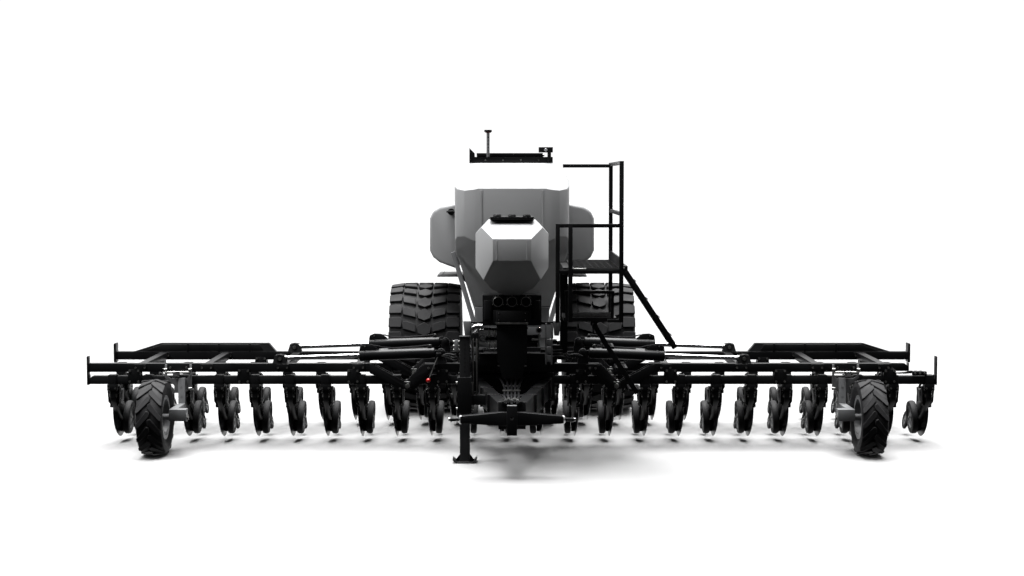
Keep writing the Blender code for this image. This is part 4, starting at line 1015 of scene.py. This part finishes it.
lid = [softened("main_tank_lid", BLACK, 0.005)]
low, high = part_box("main_tank_lid")
for i in range(7):
    y = low.y + (high.y - low.y) * (i + 0.5) / 7
    lid.append(block((low.x + 0.05, y - 0.012, high.z - 0.006), (high.x - 0.05, y + 0.012, high.z), BLACK,
                     0.003))
for y in (low.y + 0.30, high.y - 0.30):
    lid.append(block((high.x - 0.02, y - 0.03, low.z + 0.012), (high.x + 0.022, y + 0.03, high.z - 0.012),
                     ZINC, 0.004))
piece("lid_main", lid, "main_tank_lid", ["main_tank_lid"])

parts = [softened("hatch_coaming", BLACK, 0.004)]
COAMING_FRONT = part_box("main_tank_lid")[0].y - 0.09
MAST_X, MAST_Y = -0.27, COAMING_FRONT + 0.03
parts.append(rod((MAST_X, MAST_Y, 3.08), (MAST_X, MAST_Y, 3.36), 0.0175, GREY, 16))
for i in range(6):
    z = 3.11 + 0.038 * i
    parts.append(rod((MAST_X, COAMING_FRONT + 0.0115, z), (MAST_X, MAST_Y, z), 0.006, BLACK, 10))
parts += [
    rod((MAST_X, MAST_Y, 3.352), (MAST_X, MAST_Y, 3.384), 0.034, DARK_RED, 20, 0.008),
    rod((0.38, COAMING_FRONT - 0.052, 3.16), (0.38, COAMING_FRONT - 0.044, 3.16), 0.018, LENS_CLEAR, 16,
        0.002)]
for x in (-0.30, -0.10, 0.10, 0.30):
    parts.append(bolt((x, COAMING_FRONT, 3.045), (0, -1, 0), 0.011, 0.009))
piece("coaming_hatch", parts, "chassis", ["hatch_coaming"])
print("tanks, lids and hatch done")

# %% Struts and fenders under the tanks
parts = [softened("tank_frame", GREY, 0.005)]
for side in (1, -1):
    for y in (MAIN_AXLE.y - 0.30, MAIN_AXLE.y, MAIN_AXLE.y + 0.30):
        for x in (0.66, 0.84):
            parts.append(bolt((side * x, y, 1.674), (0, 0, 1), 0.010, 0.007))
piece("frame_tanks", parts, "chassis", ["tank_frame"])
print("tank frame done")

# %% [markdown]
# ## Air system
# Under the front tank the metering unit shows three pipe mouths with thin rims above a dark duct that
# narrows towards the drawbar. Bright bent pipes lead sideways from it, with a gauge, brackets, columns and
# hoses around.

# %% Metering units, duct and bright bends


def ring(at, inner, outer, depth, material, sides=28):
    """A flat ring that faces forwards."""
    made = turned([(0, inner), (0, outer), (depth * 0.8, outer), (depth, outer - 0.002), (depth, inner)],
                  (0, 0, 0),
                  material, sides)
    made.data.transform(Matrix.Translation(at) @ Matrix.Rotation(math.radians(-90), 4, "Z"))
    return made


low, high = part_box("front_metering_unit")
METER_Y = high.y - 0.30
MOUTH_Z = 1.590
parts = [softened("front_metering_unit", BLACK, 0.003)]
for x in (-0.142, 0.0, 0.142):
    parts += [
        ring((x, low.y + 0.012, MOUTH_Z), 0.046, 0.0515, 0.012, ZINC),
        ring((x, low.y + 0.070, MOUTH_Z), 0.046, 0.066, 0.018, BLACK)]
    for i in range(3):
        a = math.radians(90 + 120 * i)
        parts.append(bolt((x + 0.062 * math.cos(a), low.y + 0.052, MOUTH_Z + 0.062 * math.sin(a)), (0, -1, 0),
                          0.007, 0.006))
parts += [
    block((-0.160, METER_Y - 0.135, 1.385), (0.160, METER_Y - 0.118, 1.492), SATIN, 0.005),
    block((-0.165, METER_Y - 0.140, 1.362), (0.165, METER_Y - 0.116, 1.381), ZINC, 0.003)]
for x in (-0.135, 0.135):
    for z in (1.405, 1.475):
        parts.append(bolt((x, METER_Y - 0.134, z), (0, -1, 0), 0.007, 0.006))
for side in (1, -1):
    parts.append(block((side * 0.245 - 0.04, METER_Y - 0.045, 1.40),
                       (side * 0.245 + 0.04, METER_Y - 0.018, 1.60), SATIN, 0.006))
    bracket = [(side * 0.418, 1.384), (side * 0.500, 1.384), (side * 0.480, 1.235),
               (side * 0.430, 1.235)][::side]
    parts += [
        extruded(bracket, "Y", METER_Y - 0.02, METER_Y + 0.05, GREY, 0.004),
        block((side * 0.36 - 0.075, METER_Y + 0.04, 1.345), (side * 0.36 + 0.075, METER_Y + 0.07, 1.375),
              BLACK, 0.003)]
    for z in (1.00, 1.08, 1.16):
        column = [(side * 0.338, z - 0.034), (side * 0.415, z - 0.034), (side * 0.415, z + 0.034),
                  (side * 0.338, z + 0.034)]
        parts.append(extruded(column[::side], "Y", METER_Y - 0.006, METER_Y + 0.012, GREY, 0.003))
    for x in (0.348, 0.405):
        low_x, high_x = sorted((side * x - 0.008, side * x + 0.008))
        parts.append(block((low_x, METER_Y - 0.012, 0.94), (high_x, METER_Y + 0.030, 1.36), GREY, 0.003))
parts += [
    ring((0.275, METER_Y - 0.020, 1.292), 0.001, 0.030, 0.022, BLACK),
    ring((0.275, METER_Y - 0.034, 1.292), 0.022, 0.033, 0.012, STEEL),
    rod((0.275, METER_Y - 0.010, 1.262), (0.275, METER_Y - 0.010, 1.190), 0.008, ZINC, 12),
    rod((0.275, METER_Y - 0.014, 1.200), (0.200, METER_Y - 0.014, 1.200), 0.012, ZINC, 12)]
piece("metering_front", parts, "chassis", ["front_metering_unit"])

parts = [softened("fan", BLACK, 0.022, 4),
         block((-0.162, METER_Y - 0.068, 1.304), (0.162, METER_Y - 0.050, 1.326), BLACK, 0.004)]
piece("duct_fan", parts, "chassis", ["fan"])

middle = METER_Y + 0.05
bend = [(-0.156, middle, 1.262), (-0.250, middle, 1.266), (-0.325, middle, 1.262), (-0.362, middle, 1.232),
        (-0.366, middle, 1.190), (-0.345, middle, 1.156), (-0.290, middle, 1.140), (-0.156, middle, 1.138)]
parts = [tube(bend, 0.046, STEEL, 24)]
outer_bend = [(-0.300, middle - 0.055, 1.330), (-0.392, middle - 0.045, 1.318),
              (-0.425, middle - 0.025, 1.270),
              (-0.425, middle, 1.180), (-0.400, middle + 0.02, 1.120)]
parts.append(tube(outer_bend, 0.027, STEEL, 20))
for x in (-0.176, -0.232):
    for z in (1.263, 1.138):
        parts += [
            turned([(-0.008, 0.045), (-0.008, 0.049), (0.008, 0.049), (0.008, 0.045)], (x, middle, z), ZINC,
                   28),
            rod((x, middle - 0.046, z - 0.014), (x, middle - 0.046, z + 0.014), 0.006, ZINC, 10)]
piece("bends_steel", parts, "chassis", ["steel_air_duct"], 60)
piece("metering_rear", [softened("rear_metering_unit", BLACK, 0.005)], "chassis", ["rear_metering_unit"])
print("air system done")

# %% Hoses, valves and the lever
# The hydraulic hoses are clipped to the drawbar all the way from the hitch to the valve block.
lines = []
for i, x in enumerate((-0.075, -0.040, -0.005, 0.030, 0.065)):
    drop = 0.012 * (i % 2)
    lines += [
        tube([(x * 0.8, -2.90, 0.745 + drop), (x * 0.9, -2.78, 0.752 + drop), (x, -2.50, 0.716 + drop),
              (x, -2.04, 0.706 + drop), (x, -1.70, 0.722 + drop), (x * 1.6, -1.40, 0.775 + drop),
              (x * 2.4, -1.12, 0.800 + drop)], 0.011, HOSE, 12),
        rod((x * 0.8, -2.99, 0.744 + drop), (x * 0.8, -2.90, 0.744 + drop), 0.013, ZINC, 10, 0.002),
        rod((x * 0.8, -3.02, 0.744 + drop), (x * 0.8, -2.98, 0.744 + drop), 0.017, STEEL, 12, 0.003)]
for y in (-2.72, -2.04, -1.62):
    lines.append(block((-0.095, y - 0.012, 0.726), (0.085, y + 0.012, 0.740), ZINC, 0.003))
lines.append(block((-0.100, -2.935, 0.700), (0.100, -2.900, 0.736), BLACK, 0.004))
for side in (1, -1):
    for i in range(3):
        z = 0.93 + 0.030 * i
        lines += [
            tube([(side * 0.40, -1.24, z + 0.06), (side * 0.47, -1.22, z + 0.07),
                  (side * 0.54, -1.10, z + 0.05), (side * 0.60, -1.00, z),
                  (side * 0.68, -0.97, 0.955 + 0.02 * i), (side * 0.74, -0.955, 0.97)], 0.009, HOSE, 10),
            rod((side * 0.395, -1.24, z + 0.06), (side * 0.420, -1.24, z + 0.06), 0.013, ZINC, 8, 0.002)]
    lines.append(block((side * 0.345 - 0.05, -1.285, 0.955), (side * 0.345 + 0.05, -1.205, 1.075), BLACK,
                       0.006))
for z in (1.06, 1.10, 1.145):
    lines.append(rod((-0.612, METER_Y + 0.30, z), (-0.545, METER_Y + 0.30, z), 0.014, ZINC, 14, 0.003))
lines += [
    block((-0.600, METER_Y + 0.285, 1.040), (-0.556, METER_Y + 0.315, 1.165), GREY, 0.004),
    tube([(-0.578, METER_Y + 0.31, 1.045), (-0.560, METER_Y + 0.36, 0.98), (-0.52, METER_Y + 0.44, 0.93),
          (-0.44, METER_Y + 0.50, 0.90)], 0.012, HOSE, 10)]
piece("hoses_hydraulic", lines, "chassis")

lever = [rod((-0.772, -0.972, 0.985), (-0.872, -0.990, 0.735), 0.0065, ZINC, 12)]
lever.append(block((-0.800, -0.985, 0.965), (-0.745, -0.935, 1.005), BLACK, 0.005))
bpy.ops.mesh.primitive_uv_sphere_add(segments=20, ring_count=12, radius=0.024,
                                     location=(-0.880, -0.991, 0.717))
lever.append(painted(bpy.context.object, RED))
piece("lever_shutoff", lever, "chassis")

valve = [block((4.225, FRONT_BAR - 0.060, 0.762), (4.375, FRONT_BAR - 0.010, 0.806), BLACK, 0.005)]
for x in (4.250, 4.300, 4.350):
    valve += [
        rod((x, FRONT_BAR - 0.072, 0.785), (x, FRONT_BAR - 0.058, 0.785), 0.011, ZINC, 8, 0.002),
        tube([(x, FRONT_BAR - 0.012, 0.790), (x - 0.02, FRONT_BAR + 0.030, 0.800),
              (x - 0.08, FRONT_BAR + 0.055, 0.785), (x - 0.20, FRONT_BAR + 0.060, 0.775)], 0.008, HOSE, 10)]
piece("valve_wing_end", valve, "wing_left")
print("hoses, lever and valve done")

# %% [markdown]
# ## Platform and ladders
# The deck gets a grating of bars, and the treads of the ladders get raised grips.

# %% Platform
parts = [softened("platform", BLACK, 0.004)]
deck_x0, deck_x1, deck_y0, deck_y1, deck_z = 0.585, 1.015, -2.865, -1.045, 1.985
BARS_ACROSS, BARS_ALONG = 46, 8
for i in range(BARS_ACROSS):
    y = deck_y0 + (deck_y1 - deck_y0) * (i + 0.5) / BARS_ACROSS
    parts.append(block((deck_x0, y - 0.003, deck_z - 0.002), (deck_x1, y + 0.003, deck_z + 0.007), SATIN, 0))
for i in range(BARS_ALONG):
    x = deck_x0 + (deck_x1 - deck_x0) * i / (BARS_ALONG - 1)
    parts.append(block((x - 0.003, deck_y0, deck_z - 0.002), (x + 0.003, deck_y1, deck_z + 0.006), SATIN, 0))
parts.append(block((0.575, -2.892, 1.958), (0.700, -2.879, 1.992), ZINC, 0.003))
for y in (-2.88, -1.03):
    for z in (2.03, 1.99):
        parts.append(bolt((1.051, y, z), (1, 0, 0), 0.009, 0.007))
for i in range(10):
    y = -1.75 + 0.07 * i
    parts.append(block((0.55, y - 0.004, 1.438), (1.02, y + 0.004, 1.446), SATIN, 0))
piece("deck_platform", parts, "chassis", ["platform"])


def tread_grips(node_name, treads, y0, y1):
    """Rows of small raised teeth along each tread."""
    grips = [softened(node_name, BLACK, 0.003)]
    for x, z in treads:
        for i in range(9):
            y = y0 + (y1 - y0) * (i + 0.5) / 9
            for dx in (-0.032, 0.0, 0.032):
                grips.append(rod((x + dx, y, z + 0.011), (x + dx, y, z + 0.016), 0.010, SATIN, 8, tip=0.007))
    return grips


head, foot = Vector((1.11, 0, 1.925)), Vector((1.60, 0, 1.18))
treads = [(head.lerp(foot, (i + 0.6) / 4.2).x, head.lerp(foot, (i + 0.6) / 4.2).z) for i in range(4)]
upper = tread_grips("upper_ladder", treads, -2.24, -1.86)
for y in (-2.2765, -1.8235):
    for i in range(9):
        at = head.lerp(foot, (i + 0.5) / 9)
        upper.append(rod((at.x, y - 0.0012, at.z), (at.x, y + 0.0012, at.z), 0.011, SATIN, 12))
piece("ladder_upper", upper, "chassis", ["upper_ladder"])
pivot, foot = Vector((0.84, 0, 1.34)), Vector((1.27, 0, 0.66))
treads = [(pivot.lerp(foot, (i + 1) / 3.15).x, pivot.lerp(foot, (i + 1) / 3.15).z) for i in range(3)]
piece("ladder_lower", tread_grips("lower_ladder", treads, -1.63, -1.27), "lower_ladder", ["lower_ladder"])
piece("pin_ladder", [softened("ladder_pin", BLACK, 0.002)], "chassis", ["ladder_pin"])
print("platform and ladders done")
